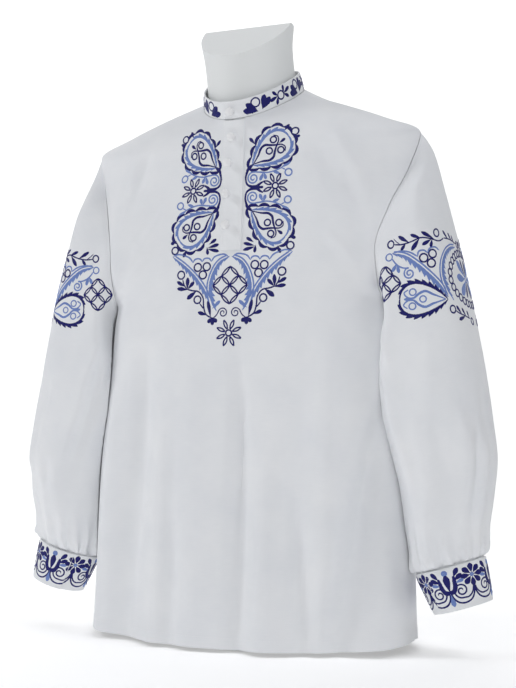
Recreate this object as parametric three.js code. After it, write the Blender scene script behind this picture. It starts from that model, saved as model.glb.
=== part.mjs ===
// Embroidered folk shirt on a limbless dress form. Millimetres, +Z up. The shirt faces -Y, and the
// origin is the middle of the form's flat base. The cloth is a thin wall over measured sections:
// front, back and two sleeves share their seam lines, and the collar, placket and cuffs are doubled
// bands set on those lines.
import * as THREE from "three";

// ---- Driving sizes ----
const CLOTH = 1.2; // wall of the cotton panels
const BAND = 2; // doubled cloth of the collar, placket and cuffs
const SEAM = 0.36; // gap that stands for a sewn seam
const LYING = 0.4; // gap under what lies on a panel
const SET_ON = 0.8; // gap under the collar, over the neckline's uneven edge
const HEM_Z = 5; // the hem hangs clear of what the form stands on
const NECK = { halfWidth: 68.5, frontY: -64, sideY: 12, backY: 90, frontZ: 704, sideZ: 748, backZ: 776 };
const NECK_BOW = 8; // rise of the neckline over a straight slant
const TIP = { x: 239, y: 9, z: 681 }; // end of the shoulder seam
const UNDERARM = { x: 206, y: 8, z: 440 };
const BODY_CLEARANCE = 4; // between a hanging sleeve and the body

// ---- Mesh density ----
const HALF_COLUMNS = 8; // across half a panel
const ROWS_BELOW = 8; // hem to underarm
const ROWS_ARMHOLE = 15; // underarm to shoulder tip, and so half a ring of the sleeve
const ROWS_SHOULDER = 5; // shoulder tip to neckline
const SLEEVE_ROWS = 17;
const SHARP_FOLD = 0.7; // cosine between a panel's own normal and the shared one

const material = (color, roughness) => new THREE.MeshStandardMaterial({ color, roughness, metalness: 0 });
const COTTON = material("#eef0f4", 0.85);
const THREAD = material("#f4f4f2", 0.6);
const FORM_COVER = material("#eceeee", 0.55);

// A table: its column names once, then a row of numbers for each section.
const table = (names, rows) =>
  rows.map((row) => Object.fromEntries(names.split(" ").map((name, i) => [name, row[i]])));

// Smooth run through evenly spaced values that never passes beyond them.
function smoothRun(values, at) {
  const last = values.length - 1;
  const i = Math.min(Math.floor(at), last - 1);
  const f = at - i;
  const step = (k) => values[k + 1] - values[k];
  const slope = (k) => {
    if (k === 0) return step(0);
    if (k === last) return step(last - 1);
    const [before, after] = [step(k - 1), step(k)];
    return before * after <= 0 ? 0 : (2 * before * after) / (before + after);
  };
  const [a, b] = [slope(i), slope(i + 1)];
  const rise = step(i);
  return values[i] + f * (a + f * (3 * rise - 2 * a - b + f * (a + b - 2 * rise)));
}

// One row of a table at any place between its rows.
const between = (rows, at) =>
  Object.fromEntries(Object.keys(rows[0]).map((key) => [key, smoothRun(rows.map((r) => r[key]), at)]));

// ---- Body: front and back panels ----
// front/back: the centre lines. edge: the side seam, then the armhole, then the shoulder seam.
// sweep: how far round the section its edge lies, in degrees. full: 2 is an ellipse, more is squarer.
// bow: how far the section lifts between its centre line and its edge.
const BODY = table("frontY frontZ backY backZ edgeX edgeFrontY edgeBackY edgeZ sweep full frontBow backBow", [
  [-115, HEM_Z, 110, HEM_Z, 235, -4, -4, HEM_Z + 11, 90, 2.25, 0, 0],
  [-103, 116, 112, 116, 231, -1, -1, 122, 90, 2.3, 0, 0],
  [-92, 227, 114, 227, 225, 2, 2, 230, 90, 2.4, 0, 0],
  [-84, 339, 116, 339, 216, 6, 6, 338, 90, 2.5, 0, 0],
  [-78.5, 446, 117, 446, UNDERARM.x, UNDERARM.y, UNDERARM.y, UNDERARM.z, 90, 2.5, 0, 0],
  [-75.5, 496, 116, 496, 195, -34, 50, 474, 80, 2.4, 0, 0],
  [-72, 542, 114, 542, 194, -49, 72, 524, 72, 2.3, 0, 0],
  [-68.5, 588, 112, 590, 207, -31, 74, 580, 72, 2.25, 0, 0],
  [-66, 632, 108, 640, 227, -4, 50, 634, 78, 2.2, 0, 0],
  [-64, 662, 104, 686, TIP.x, TIP.y, TIP.y, TIP.z, 84, 2.15, 0, -6],
  [-63, 680, 100, 716, 190, 10, 10, 706, 87, 2.1, 2, -22],
  [-63, 693, 95, 748, 126, 11, 11, 730, 89, 2.05, 5, -14],
  [NECK.frontY, NECK.frontZ, NECK.backY, NECK.backZ, NECK.halfWidth, NECK.sideY, NECK.sideY, NECK.sideZ,
    90, 2, NECK_BOW, NECK_BOW],
]);
const UNDERARM_ROW = 4;
const TIP_ROW = 9;
const NECK_ROW = 12;

const rowSteps = [
  [0, UNDERARM_ROW, ROWS_BELOW],
  [UNDERARM_ROW, TIP_ROW, ROWS_ARMHOLE],
  [TIP_ROW, NECK_ROW, ROWS_SHOULDER],
].flatMap(([from, to, count]) => Array.from({ length: count }, (_, k) => from + ((to - from) * k) / count));
rowSteps.push(NECK_ROW);

// A point of the body: at = place in the table, u = -1 to 1 across, front = true for the front panel.
function bodyPoint(at, u, front) {
  const row = between(BODY, at);
  const [midY, midZ, bow] = front
    ? [row.frontY, row.frontZ, row.frontBow]
    : [row.backY, row.backZ, row.backBow];
  const onArmhole = at > UNDERARM_ROW && at < TIP_ROW;
  const edgeY = onArmhole && !front ? row.edgeBackY : row.edgeFrontY;
  const sweep = THREE.MathUtils.degToRad(row.sweep);
  const turn = Math.abs(u) * sweep;
  const power = 2 / row.full;
  const across = Math.sin(turn) ** power / Math.sin(sweep) ** power;
  const low = Math.max(Math.cos(sweep), 0) ** power;
  const inward = (Math.max(Math.cos(turn), 0) ** power - low) / (1 - low);
  return new THREE.Vector3(
    Math.sign(u) * row.edgeX * across,
    edgeY + (midY - edgeY) * inward,
    row.edgeZ + (midZ - row.edgeZ) * inward + bow * inward * (1 - inward),
  );
}

// ---- Sleeves: rings from the armhole to the cuff, given for the +X side ----
// inner/outer: the ring's lowest inside and highest outside points. midY, halfDepth: its run front to
// back. gather: depth of the folds drawn up by the cuff.
const SLEEVE = table("innerX innerZ outerX outerZ midY halfDepth full gather", [
  [UNDERARM.x, UNDERARM.z, TIP.x, TIP.z, 14, 64, 2, 0],
  [205, 431, 255, 652, 20, 72, 2, 0],
  [202, 419, 265, 612, 22, 77, 2.1, 0],
  [197, 401, 276, 566, 23, 80, 2.2, 0],
  [191, 377, 289, 512, 22, 81, 2.4, 0],
  [187, 347, 303, 450, 20, 81, 2.5, 0],
  [190, 306, 319, 376, 15, 79, 2.5, 0],
  [200, 262, 331.5, 306, 10, 76, 2.3, 1],
  [215, 214, 340, 248, 3, 72, 2.1, 2],
  [221, 172, 337, 202, -1, 65, 2, 3.2],
  [226, 138, 331, 164, -3, 54, 2, 3.6],
  [236.5, 103.2, 328.5, 130.6, -8, 36.5, 2, 0.8],
]);
const CUFF_TOP = { innerX: 236.5, innerZ: 103, outerX: 329, outerZ: 130.5, midY: -8, halfDepth: 37, full: 2 };
const CUFF_FOOT = { innerX: 263, innerZ: 53, outerX: 339, outerZ: 76, midY: -11, halfDepth: 34, full: 2 };
const GATHERS = 10; // folds round the wrist

// A point of a sleeve ring; turn 0 is outermost and runs forward.
function ringPoint(ring, turn, swell = 0) {
  const power = 2 / ring.full;
  const out = Math.sign(Math.cos(turn)) * Math.abs(Math.cos(turn)) ** power;
  const forward = Math.sign(Math.sin(turn)) * Math.abs(Math.sin(turn)) ** power;
  const half = new THREE.Vector2(ring.outerX - ring.innerX, ring.outerZ - ring.innerZ).multiplyScalar(0.5);
  const reach = 1 + swell / half.length();
  return new THREE.Vector3(
    ring.innerX + half.x * (1 + out * reach),
    ring.midY - (ring.halfDepth + swell) * forward,
    ring.innerZ + half.y * (1 + out * reach),
  );
}

// The body's half width where a sleeve hangs against it, and nothing across an open armhole.
function bodySide(y, z) {
  const place = BODY.findIndex((row) => row.edgeZ > z);
  if (place < 1) return 0;
  const [low, high] = [BODY[place - 1], BODY[place]];
  const row = between(BODY, place - 1 + (z - low.edgeZ) / (high.edgeZ - low.edgeZ));
  const edgeBackY = place > UNDERARM_ROW ? row.edgeBackY : row.edgeFrontY;
  if (y > row.edgeFrontY && y < edgeBackY) return 0;
  const [edgeY, midY] = y > edgeBackY ? [edgeBackY, row.backY] : [row.edgeFrontY, row.frontY];
  const power = 2 / row.full;
  const sweep = THREE.MathUtils.degToRad(row.sweep);
  const atEdge = Math.cos(sweep) ** power;
  const inward = Math.min((y - edgeY) / (midY - edgeY), 1);
  const cosTurn = Math.min(atEdge + inward * (1 - atEdge), 1) ** (1 / power);
  return row.edgeX * (Math.sqrt(1 - cosTurn ** 2) / Math.sin(sweep)) ** power;
}

// ---- Solids from grids ----
// A grid of outer points with its normals becomes a closed wall: skips drops cells, as at a slit.
function wall(points, normals, thickness, { wraps = false, skips = () => false } = {}) {
  const rows = points.length;
  const columns = points[0].length;
  const positions = [];
  const place = (side, r, c) => side * rows * columns + r * columns + (c % columns);
  for (const depth of [0, thickness])
    points.forEach((line, r) =>
      line.forEach((p, c) => positions.push(...p.clone().addScaledVector(normals[r][c], -depth).toArray())),
    );
  const faces = [];
  const quad = (a, b, c, d) => faces.push(a, b, c, a, c, d);
  const edges = new Map();
  const lastColumn = wraps ? columns : columns - 1;
  for (let r = 0; r < rows - 1; r++)
    for (let c = 0; c < lastColumn; c++) {
      if (skips(r, c)) continue;
      const corners = [[r, c], [r, c + 1], [r + 1, c + 1], [r + 1, c]];
      quad(...corners.map(([i, j]) => place(0, i, j)));
      quad(...corners.map(([i, j]) => place(1, i, j)).reverse());
      corners.forEach(([i, j], k) => {
        const [from, to] = [place(0, i, j), place(0, ...corners[(k + 1) % 4])];
        if (!edges.delete(`${to} ${from}`)) edges.set(`${from} ${to}`, [from, to]);
      });
    }
  const inner = rows * columns;
  const heightOf = (v) => positions[3 * v + 2];
  for (const [from, to] of edges.values())
    if (heightOf(from) > heightOf(to)) quad(to, from, from + inner, to + inner);
    else quad(from, from + inner, to + inner, to);
  return solid(positions, faces);
}

// Only the vertices that its faces use stay in a solid.
function solid(positions, faces) {
  const kept = new Map();
  const used = [];
  const index = faces.map((v) => {
    if (!kept.has(v)) {
      kept.set(v, kept.size);
      used.push(...positions.slice(3 * v, 3 * v + 3));
    }
    return kept.get(v);
  });
  const geometry = new THREE.BufferGeometry();
  geometry.setAttribute("position", new THREE.Float32BufferAttribute(used, 3));
  geometry.setIndex(index);
  geometry.computeVertexNormals();
  return geometry;
}

// Normals of several grids at once, so that panels which share a seam line also share its normals.
// Where they fold sharply, as under the arm, each keeps its own.
function sharedNormals(grids) {
  const key = (p) => p.toArray().map((v) => Math.round(v * 100)).join(" ");
  const shared = new Map();
  const own = grids.map(() => new Map());
  const addTo = (sums, p, normal) => sums.set(key(p), (sums.get(key(p)) ?? new THREE.Vector3()).add(normal));
  grids.forEach(({ points, wraps }, g) => {
    for (let r = 0; r < points.length - 1; r++)
      for (let c = 0; c < points[0].length - (wraps ? 0 : 1); c++) {
        const next = (c + 1) % points[0].length;
        const corners = [points[r][c], points[r][next], points[r + 1][next], points[r + 1][c]];
        const normal = new THREE.Vector3()
          .subVectors(corners[2], corners[0])
          .cross(new THREE.Vector3().subVectors(corners[3], corners[1]));
        for (const p of corners) {
          addTo(shared, p, normal);
          addTo(own[g], p, normal);
        }
      }
  });
  const normalAt = (p, g) => {
    const together = shared.get(key(p)).clone().normalize();
    const alone = own[g].get(key(p)).clone().normalize();
    return together.dot(alone) < SHARP_FOLD ? alone : together;
  };
  return grids.map(({ points }, g) => points.map((line) => line.map((p) => normalAt(p, g))));
}

// Pulls a point back from the seam, towards its neighbour in the same panel and in from the face.
const backOff = (p, neighbour, normal) =>
  p.clone().lerp(neighbour, SEAM / 2 / p.distanceTo(neighbour)).addScaledVector(normal, -SEAM / 2);

const group = new THREE.Group();
function addPiece(name, geometry, cloth) {
  const mesh = new THREE.Mesh(geometry, cloth);
  mesh.name = name;
  group.add(mesh);
  return mesh;
}

// ---- Panels and sleeves ----
const SLIT = { halfWidth: 1, depth: 168 }; // the neck opening that the placket closes
const slitShare = (SLIT.halfWidth / UNDERARM.x) * 0.9;
const shares = Array.from({ length: HALF_COLUMNS }, (_, k) => (k + 1) / HALF_COLUMNS);
const frontColumns = [...shares.map((s) => -s).reverse(), -slitShare, slitShare, ...shares];
const backColumns = [...shares.map((s) => -s).reverse(), 0, ...shares];
const SLIT_COLUMN = HALF_COLUMNS;

const frontPoints = rowSteps.map((at) => frontColumns.map((u) => bodyPoint(at, u, true)));
const backPoints = rowSteps.map((at) => [...backColumns].reverse().map((u) => bodyPoint(at, u, false)));

// The closed armhole line for one side, from the shoulder tip down the front and up the back.
const armholeRows = rowSteps.map((at, r) => [at, r]).filter(([at]) => at >= UNDERARM_ROW && at <= TIP_ROW);
function armholeLine(side) {
  const down = [...armholeRows].reverse().map(([, r]) => frontPoints[r][side > 0 ? frontColumns.length - 1 : 0]);
  const up = armholeRows.slice(1, -1).map(([, r]) => backPoints[r][side > 0 ? 0 : backColumns.length - 1]);
  return [...down, ...up];
}

// Sleeve folds: uneven in place and depth, and gone at the armhole.
function gatherAt(ring, turn, side) {
  const uneven = 0.7 * Math.sin(2 * turn + side) + 0.4 * Math.sin(3 * turn + 2);
  return ring.gather * Math.cos(GATHERS * turn + uneven);
}

function sleevePoints(side) {
  const line = armholeLine(side);
  const count = line.length;
  const turns = Array.from({ length: count }, (_, k) => (2 * Math.PI * k) / count);
  const drift = line.map((p, k) => {
    const plain = ringPoint(SLEEVE[0], turns[k]);
    return new THREE.Vector3(p.x * side, p.y, p.z).sub(plain);
  });
  const points = Array.from({ length: SLEEVE_ROWS + 1 }, (_, r) => {
    const along = r / SLEEVE_ROWS;
    const ring = between(SLEEVE, along * (SLEEVE.length - 1));
    return turns.map((turn, k) => {
      const p = ringPoint(ring, turn, gatherAt(ring, turn, side)).addScaledVector(drift[k], (1 - along) ** 8);
      if (r > 0) p.x = Math.max(p.x, bodySide(p.y, p.z) + BODY_CLEARANCE);
      return new THREE.Vector3(side * p.x, p.y, p.z);
    });
  });
  points[0] = line.map((p) => p.clone());
  return side > 0 ? points : points.map((row) => [...row].reverse());
}

const grids = [
  { name: "shirt_front", points: frontPoints },
  { name: "shirt_back", points: backPoints },
  { name: "sleeve_right", points: sleevePoints(-1), wraps: true },
  { name: "sleeve_left", points: sleevePoints(1), wraps: true },
];
const normals = sharedNormals(grids);
grids.forEach(({ name, points, wraps }, g) => {
  const panel = !wraps;
  const seamed = points.map((line, r) => {
    const normal = normals[g][r];
    if (!panel) return r === 0 ? line.map((p, c) => backOff(p, points[1][c], normal[c])) : line;
    const last = line.length - 1;
    return line.map((p, c) => {
      if (c === 0) return backOff(p, line[1], normal[0]);
      return c === last ? backOff(p, line[last - 1], normal[last]) : p;
    });
  });
  const slitEnd = NECK.frontZ - SLIT.depth;
  const skips = (r, c) => name === "shirt_front" && c === SLIT_COLUMN && points[r][c].z > slitEnd;
  addPiece(name, wall(seamed, normals[g], CLOTH, { wraps, skips }), COTTON);
});

// ---- Collar: a doubled stand band, its left end lapped over its right end at the throat ----
const COLLAR = { topY: 3, topHalfWidth: 64.5, topHalfDepth: 75.5, frontRise: 21.5, backRise: 23, steps: 40 };
const LAP = { from: -12.5, to: 15, proud: BAND + 0.5 }; // across the throat, and how far the outer end stands out

// A point of the neckline, turn 0 at the throat and running to the shirt's left (+X).
function neckPoint(turn) {
  const inward = Math.cos(turn);
  const halfDepth = inward > 0 ? NECK.sideY - NECK.frontY : NECK.backY - NECK.sideY;
  const rise = inward > 0 ? NECK.frontZ - NECK.sideZ : NECK.backZ - NECK.sideZ;
  const share = Math.abs(inward);
  return new THREE.Vector3(
    NECK.halfWidth * Math.sin(turn),
    NECK.sideY - halfDepth * inward,
    NECK.sideZ + rise * share + NECK_BOW * share * (1 - share),
  );
}

// A point of the collar band: up = 0 at the neckline, 1 at the top edge.
function collarPoint(turn, up, proud) {
  const foot = neckPoint(turn);
  const inward = Math.cos(turn);
  const rise = THREE.MathUtils.lerp(COLLAR.backRise, COLLAR.frontRise, (1 + inward) / 2);
  const top = new THREE.Vector3(
    COLLAR.topHalfWidth * Math.sin(turn),
    COLLAR.topY - COLLAR.topHalfDepth * inward,
    foot.z + rise,
  );
  const outward = new THREE.Vector3(Math.sin(turn), -inward, 0);
  foot.z += SET_ON;
  return foot.lerp(top, up).addScaledVector(outward, proud);
}

const lapTurn = Math.asin(LAP.from / NECK.halfWidth);
const underTurn = Math.asin(LAP.to / NECK.halfWidth) + 2 * Math.PI;
const collarTurns = Array.from(
  { length: COLLAR.steps + 1 },
  (_, k) => lapTurn + ((underTurn - lapTurn) * k) / COLLAR.steps,
);
const collarRows = [0, 0.5, 1].map((up) =>
  collarTurns.map((turn) => {
    const settled = THREE.MathUtils.smoothstep(turn, -lapTurn, 5 * -lapTurn);
    return collarPoint(turn, up, LAP.proud * (1 - settled));
  }),
);
const gridNormals = (points, wraps = false) => sharedNormals([{ points, wraps }])[0];
addPiece("collar_band", wall(collarRows, gridNormals(collarRows), BAND), COTTON);

// ---- Placket: a doubled strip that lies on the front panel and closes the slit ----
const PLACKET = { from: -13, to: 17, topInset: 3.5, columns: 4, rows: 14 };

// The front panel's point at a given x, and how far up its rows a given height lies.
function frontAt(x, at) {
  const row = between(BODY, at);
  const sweep = THREE.MathUtils.degToRad(row.sweep);
  const across = (Math.abs(x) / row.edgeX) * Math.sin(sweep) ** (2 / row.full);
  const u = Math.asin(across ** (row.full / 2)) / sweep;
  return bodyPoint(at, Math.sign(x) * u, true);
}
function rowAtHeight(z) {
  let [low, high] = [0, NECK_ROW];
  for (let k = 0; k < 30; k++) {
    const middle = (low + high) / 2;
    if (bodyPoint(middle, 0, true).z < z) low = middle;
    else high = middle;
  }
  return low;
}
const frontAtHeight = (x, z) => frontAt(x, rowAtHeight(z));

const placketTop = NECK.frontZ - PLACKET.topInset;
const placketFoot = NECK.frontZ - SLIT.depth - 8;
const placketGrid = Array.from({ length: PLACKET.rows + 1 }, (_, r) =>
  Array.from({ length: PLACKET.columns + 1 }, (_, c) =>
    frontAtHeight(
      THREE.MathUtils.lerp(PLACKET.from, PLACKET.to, c / PLACKET.columns),
      THREE.MathUtils.lerp(placketFoot, placketTop, r / PLACKET.rows),
    ),
  ),
);
const placketNormals = gridNormals(placketGrid);
const placketFace = placketGrid.map((line, r) =>
  line.map((p, c) => p.clone().addScaledVector(placketNormals[r][c], LYING + BAND)),
);
addPiece("placket", wall(placketFace, placketNormals, BAND), COTTON);

// ---- Cuffs: doubled bands, each lapped on itself on the inside of the wrist ----
const CUFF = { steps: 30, lapTurn: 0.42, proud: BAND + 0.5, drop: 1 };
const CUFF_LAP_AT = 2.35; // where the outer end lies, as a turn from the outside of the wrist

function cuffRows(side) {
  return [1, 0.5, 0].map((up) => {
    const ring = between([CUFF_FOOT, CUFF_TOP], up);
    return Array.from({ length: CUFF.steps + 1 }, (_, k) => {
      const share = k / CUFF.steps;
      const turn = CUFF_LAP_AT - CUFF.lapTurn / 2 - share * (2 * Math.PI + CUFF.lapTurn);
      const proud = CUFF.proud * (1 - THREE.MathUtils.smoothstep(share, 0.06, 0.3));
      const p = ringPoint(ring, turn, proud);
      return new THREE.Vector3(side * p.x, p.y, p.z - CUFF.drop);
    });
  });
}
for (const [name, side] of [["cuff_right", -1], ["cuff_left", 1]]) {
  const rows = cuffRows(side).map((row) => (side > 0 ? row.reverse() : row));
  addPiece(name, wall(rows, gridNormals(rows), BAND), COTTON);
}

// ---- Buttons: thread balls in a line near the placket's right-hand edge ----
const BUTTON_RADIUS = 6;
const COLLAR_BUTTON = { x: 1, up: 0.45 };
const BUTTONS = table("x z", [
  [1, 679],
  [-3.5, 644],
  [-5, 603],
  [-4, 561],
]);
function addButton(name, seat, normal) {
  const ball = new THREE.SphereGeometry(BUTTON_RADIUS, 14, 9);
  const mesh = addPiece(name, ball, THREAD);
  mesh.position.copy(seat).addScaledVector(normal, BUTTON_RADIUS + LYING);
  mesh.quaternion.setFromUnitVectors(new THREE.Vector3(0, 1, 0), normal);
}

// The outward normal of a surface given as a function of two sizes.
function normalOf(surface, a, b, step) {
  const acrossStep = surface(a + step, b).sub(surface(a - step, b));
  const upStep = surface(a, b + step).sub(surface(a, b - step));
  return acrossStep.cross(upStep).normalize();
}
const collarFace = (turn, up) => collarPoint(turn, up, LAP.proud);
const collarButtonTurn = Math.asin(COLLAR_BUTTON.x / NECK.halfWidth);
addButton(
  "button_1",
  collarFace(collarButtonTurn, COLLAR_BUTTON.up),
  normalOf(collarFace, collarButtonTurn, COLLAR_BUTTON.up, 0.05),
);
BUTTONS.forEach(({ x, z }, k) => {
  const normal = normalOf(frontAtHeight, x, z, 2);
  const seat = frontAtHeight(x, z).addScaledVector(normal, LYING + BAND);
  addButton(`button_${k + 2}`, seat, normal);
});

// ---- Dress form: one smooth limbless body with a slanted neck cap, standing on its flat base ----
const FORM = table("halfWidth frontY sideY backY frontZ sideZ backZ", [
  [166, -92, 0, 98, 0, 0, 0],
  [164, -90, 0, 98, 60, 60, 60],
  [156, -82, 2, 97, 150, 150, 150],
  [149, -74, 4, 93, 250, 250, 250],
  [158, -71, 7, 97, 350, 350, 350],
  [174, -71, 8, 104, 450, 450, 450],
  [182, -69, 9, 104, 530, 530, 530],
  [189, -65, 9, 98, 600, 600, 606],
  [193, -61.5, 9, 90, 640, 648, 664],
  [189, -60, 9, 84, 658, 682.5, 694],
  [175, -59, 10, 80, 671, 707.2, 713],
  [122, -58.5, 10.5, 78, 683, 727.7, 740],
  [90, -58.5, 11, 74, 690, 736.2, 749],
  [70, -58.5, 11, 73, 696, 740, 757],
  [62.5, -59.5, 10, 71, 706, 748, 770],
  [61, -61.5, 6, 66, 724, 762, 788],
  [60.5, -65, 0, 60, 744, 782, 806],
  [61, -70, -6, 54, 765, 806, 824],
]);
const FORM_TOP = { halfWidth: 65, frontY: -76, sideY: -11, backY: 50, frontZ: 787, ridgeZ: 840 };
const FORM_SIDES = 28;
function formPoint(row, turn) {
  const inward = Math.cos(turn);
  const [endY, endZ] = inward > 0 ? [row.frontY, row.frontZ] : [row.backY, row.backZ];
  return new THREE.Vector3(
    row.halfWidth * Math.sin(turn),
    THREE.MathUtils.lerp(row.sideY, endY, Math.abs(inward)),
    THREE.MathUtils.lerp(row.sideZ, endZ, Math.abs(inward)),
  );
}
const formTopRow = { ...FORM_TOP, sideZ: FORM_TOP.ridgeZ, backZ: FORM_TOP.ridgeZ };
const formRings = [...FORM, formTopRow].map((row) =>
  Array.from({ length: FORM_SIDES }, (_, k) => formPoint(row, (2 * Math.PI * k) / FORM_SIDES)),
);
const formFaces = [];
const ringStart = (r) => r * FORM_SIDES;
for (let r = 0; r < formRings.length - 1; r++)
  for (let k = 0; k < FORM_SIDES; k++) {
    const next = (k + 1) % FORM_SIDES;
    const [a, b] = [ringStart(r) + k, ringStart(r) + next];
    const [c, d] = [ringStart(r + 1) + next, ringStart(r + 1) + k];
    formFaces.push(a, b, c, a, c, d);
  }
// The base and the neck cap are closed by strips that run straight across.
const topStart = ringStart(formRings.length - 1);
for (let k = 0; k < FORM_SIDES / 2; k++) {
  const [a, b, c, d] = [k, k + 1, FORM_SIDES - k - 1, (FORM_SIDES - k) % FORM_SIDES];
  if (b !== c) formFaces.push(a, c, b, topStart + a, topStart + b, topStart + c);
  if (a !== d) formFaces.push(a, d, c, topStart + a, topStart + c, topStart + d);
}
addPiece("dress_form", solid(formRings.flat().flatMap((p) => p.toArray()), formFaces), FORM_COVER);

export default group;
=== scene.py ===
import math

import bmesh
import bpy
import numpy as np
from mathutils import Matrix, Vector
from mathutils.bvhtree import BVHTree


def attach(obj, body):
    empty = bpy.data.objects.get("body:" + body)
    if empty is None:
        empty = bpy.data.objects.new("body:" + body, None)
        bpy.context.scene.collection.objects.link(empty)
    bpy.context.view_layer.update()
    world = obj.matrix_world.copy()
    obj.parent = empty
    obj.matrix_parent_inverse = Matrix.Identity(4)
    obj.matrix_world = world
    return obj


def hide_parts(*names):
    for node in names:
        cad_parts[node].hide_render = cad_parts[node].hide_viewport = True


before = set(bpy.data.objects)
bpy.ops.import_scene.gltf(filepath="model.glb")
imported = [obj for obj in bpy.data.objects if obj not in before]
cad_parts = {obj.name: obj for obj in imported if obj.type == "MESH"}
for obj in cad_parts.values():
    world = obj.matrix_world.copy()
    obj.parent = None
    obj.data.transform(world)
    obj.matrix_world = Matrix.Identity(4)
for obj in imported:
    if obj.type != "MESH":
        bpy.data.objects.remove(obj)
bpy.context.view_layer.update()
MM = 0.001

# ---------------------------------------------------------------------------
# Dress form
# A headless, armless torso that shops stand a shirt on. It is moulded in one hollow piece and
# sprayed matt white, with a flat base and a neck cut off at a slant.


def table(names, rows):
    """Columns by name, from rows of millimetres; the columns after a bar are plain numbers."""
    lengths, _, plain = names.partition("|")
    lengths, plain = lengths.split(), plain.split()
    columns = np.array(rows, float).T
    scales = [MM] * len(lengths) + [1.0] * len(plain)
    return {name: column * scale for name, column, scale in zip(lengths + plain, columns, scales)}


def run(values, at):
    """Smooth run through evenly spaced values that never passes beyond them."""
    step = np.diff(values)
    before, after = step[:-1], step[1:]
    turning = before * after <= 0
    inner = np.where(turning, 0, 2 * before * after / np.where(turning, 1, before + after))
    slope = np.concatenate([step[:1], inner, step[-1:]])
    i = np.clip(np.floor(at).astype(int), 0, len(step) - 1)
    f = at - i
    a, b, rise = slope[i], slope[i + 1], step[i]
    return values[i] + f * (a + f * (3 * rise - 2 * a - b + f * (a + b - 2 * rise)))


def row_at(columns, at):
    """A table's columns at places that may fall between its rows."""
    return {name: run(values, at) for name, values in columns.items()}


def lerp(a, b, share):
    """What lies a share of the way from a to b."""
    return a + (b - a) * share


def new_mesh(name, points, faces, material, corner_uv=None, uv_name="cloth"):
    """A smooth-shaded object at the origin, with its place in its mesh."""
    mesh = bpy.data.meshes.new(name)
    mesh.from_pydata(points.reshape(-1, 3).tolist(), [], faces)
    if corner_uv is not None:
        mesh.uv_layers.new(name=uv_name).data.foreach_set("uv", corner_uv.astype(np.float32).ravel())
    mesh.shade_smooth()
    mesh.set_sharp_from_angle(angle=math.radians(50))
    mesh.materials.append(material)
    piece = bpy.data.objects.new(name, mesh)
    bpy.context.scene.collection.objects.link(piece)
    return piece


def colour(hex_code):
    """An sRGB hex value as the linear colour that the shaders take."""
    channels = [int(hex_code[i : i + 2], 16) / 255 for i in (1, 3, 5)]
    return [c / 12.92 if c <= 0.04045 else ((c + 0.055) / 1.055) ** 2.4 for c in channels] + [1]


def give(node, settings=None, links=None):
    """Sets a node's values and sockets, and links other nodes' outputs to it."""
    for key, value in (settings or {}).items():
        if isinstance(key, str) and hasattr(node, key):
            setattr(node, key, value)
        else:
            node.inputs[key].default_value = value
    for key, source in (links or {}).items():
        node.id_data.links.new(source, node.inputs[key])
    return node


def add(tree, kind, settings=None, links=None):
    """Adds a node to a tree, with its settings and links."""
    return give(tree.nodes.new(kind), settings, links)


def new_material(name):
    """A material, with its node tree and the shader that the tree ends in."""
    material = bpy.data.materials.new(name)
    material.use_nodes = True
    return material, material.node_tree, material.node_tree.nodes["Principled BSDF"]


def soften(piece, radius, segments, degrees):
    """Rounds a piece's edges where they turn by more than so many degrees."""
    rounding = piece.modifiers.new("rounded rim", "BEVEL")
    rounding.width, rounding.segments = radius, segments
    rounding.limit_method, rounding.angle_limit = "ANGLE", math.radians(degrees)


# Sprayed fibreglass: an even matt white with the faint pebble of spray paint.
form_paint, tree, shader = new_material("sprayed fibreglass")
place = add(tree, "ShaderNodeTexCoord").outputs["Object"]
pebble = add(tree, "ShaderNodeTexNoise", {"Scale": 900, "Detail": 2}, {"Vector": place})
bump = add(tree, "ShaderNodeBump", {"Strength": 0.06, "Distance": 0.0004}, {"Height": pebble.outputs["Fac"]})
finish = {"Base Color": colour("#e9ebea"), "Roughness": 0.62, "IOR": 1.5}
give(shader, finish, {"Normal": bump.outputs["Normal"]})

FORM = table("halfWidth frontY sideY backY frontZ sideZ backZ", [
    [166, -92, 0, 98, 0, 0, 0],
    [164, -90, 0, 98, 60, 60, 60],
    [156, -82, 2, 97, 150, 150, 150],
    [149, -74, 4, 93, 250, 250, 250],
    [158, -71, 7, 97, 350, 350, 350],
    [174, -71, 8, 104, 450, 450, 450],
    [182, -69, 9, 104, 530, 530, 530],
    [189, -65, 9, 98, 600, 600, 606],
    [193, -61.5, 9, 90, 640, 648, 664],
    [189, -60, 9, 84, 658, 682.5, 694],
    [175, -59, 10, 80, 671, 707.2, 713],
    [122, -58.5, 10.5, 78, 683, 727.7, 740],
    [90, -58.5, 11, 74, 690, 736.2, 749],
    [70, -58.5, 11, 73, 696, 740, 757],
    [62.5, -59.5, 10, 71, 706, 748, 770],
    [61, -61.5, 6, 66, 724, 762, 788],
    [60.5, -65, 0, 60, 744, 782, 806],
    [61, -70, -6, 54, 765, 806, 824],
    [65, -76, -11, 50, 787, 840, 840],
])
FORM_SIDES, FORM_RINGS = 96, 110
FORM_CLEARANCE = 1.2 * MM  # the form is this much slimmer to each side than its table


def form_points():
    """Rings up the form, from its flat base to its slanted neck."""
    at = np.linspace(0, len(FORM["sideZ"]) - 1, FORM_RINGS)[:, None]
    turn = np.linspace(0, 2 * np.pi, FORM_SIDES, endpoint=False)[None, :]
    row = row_at(FORM, at)
    share, front = np.abs(np.cos(turn)), np.cos(turn) > 0
    end_y = np.where(front, row["frontY"], row["backY"])
    end_z = np.where(front, row["frontZ"], row["backZ"])
    x = (row["halfWidth"] - FORM_CLEARANCE) * np.sin(turn)
    return np.stack([x, lerp(row["sideY"], end_y, share), lerp(row["sideZ"], end_z, share)], -1)


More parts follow.
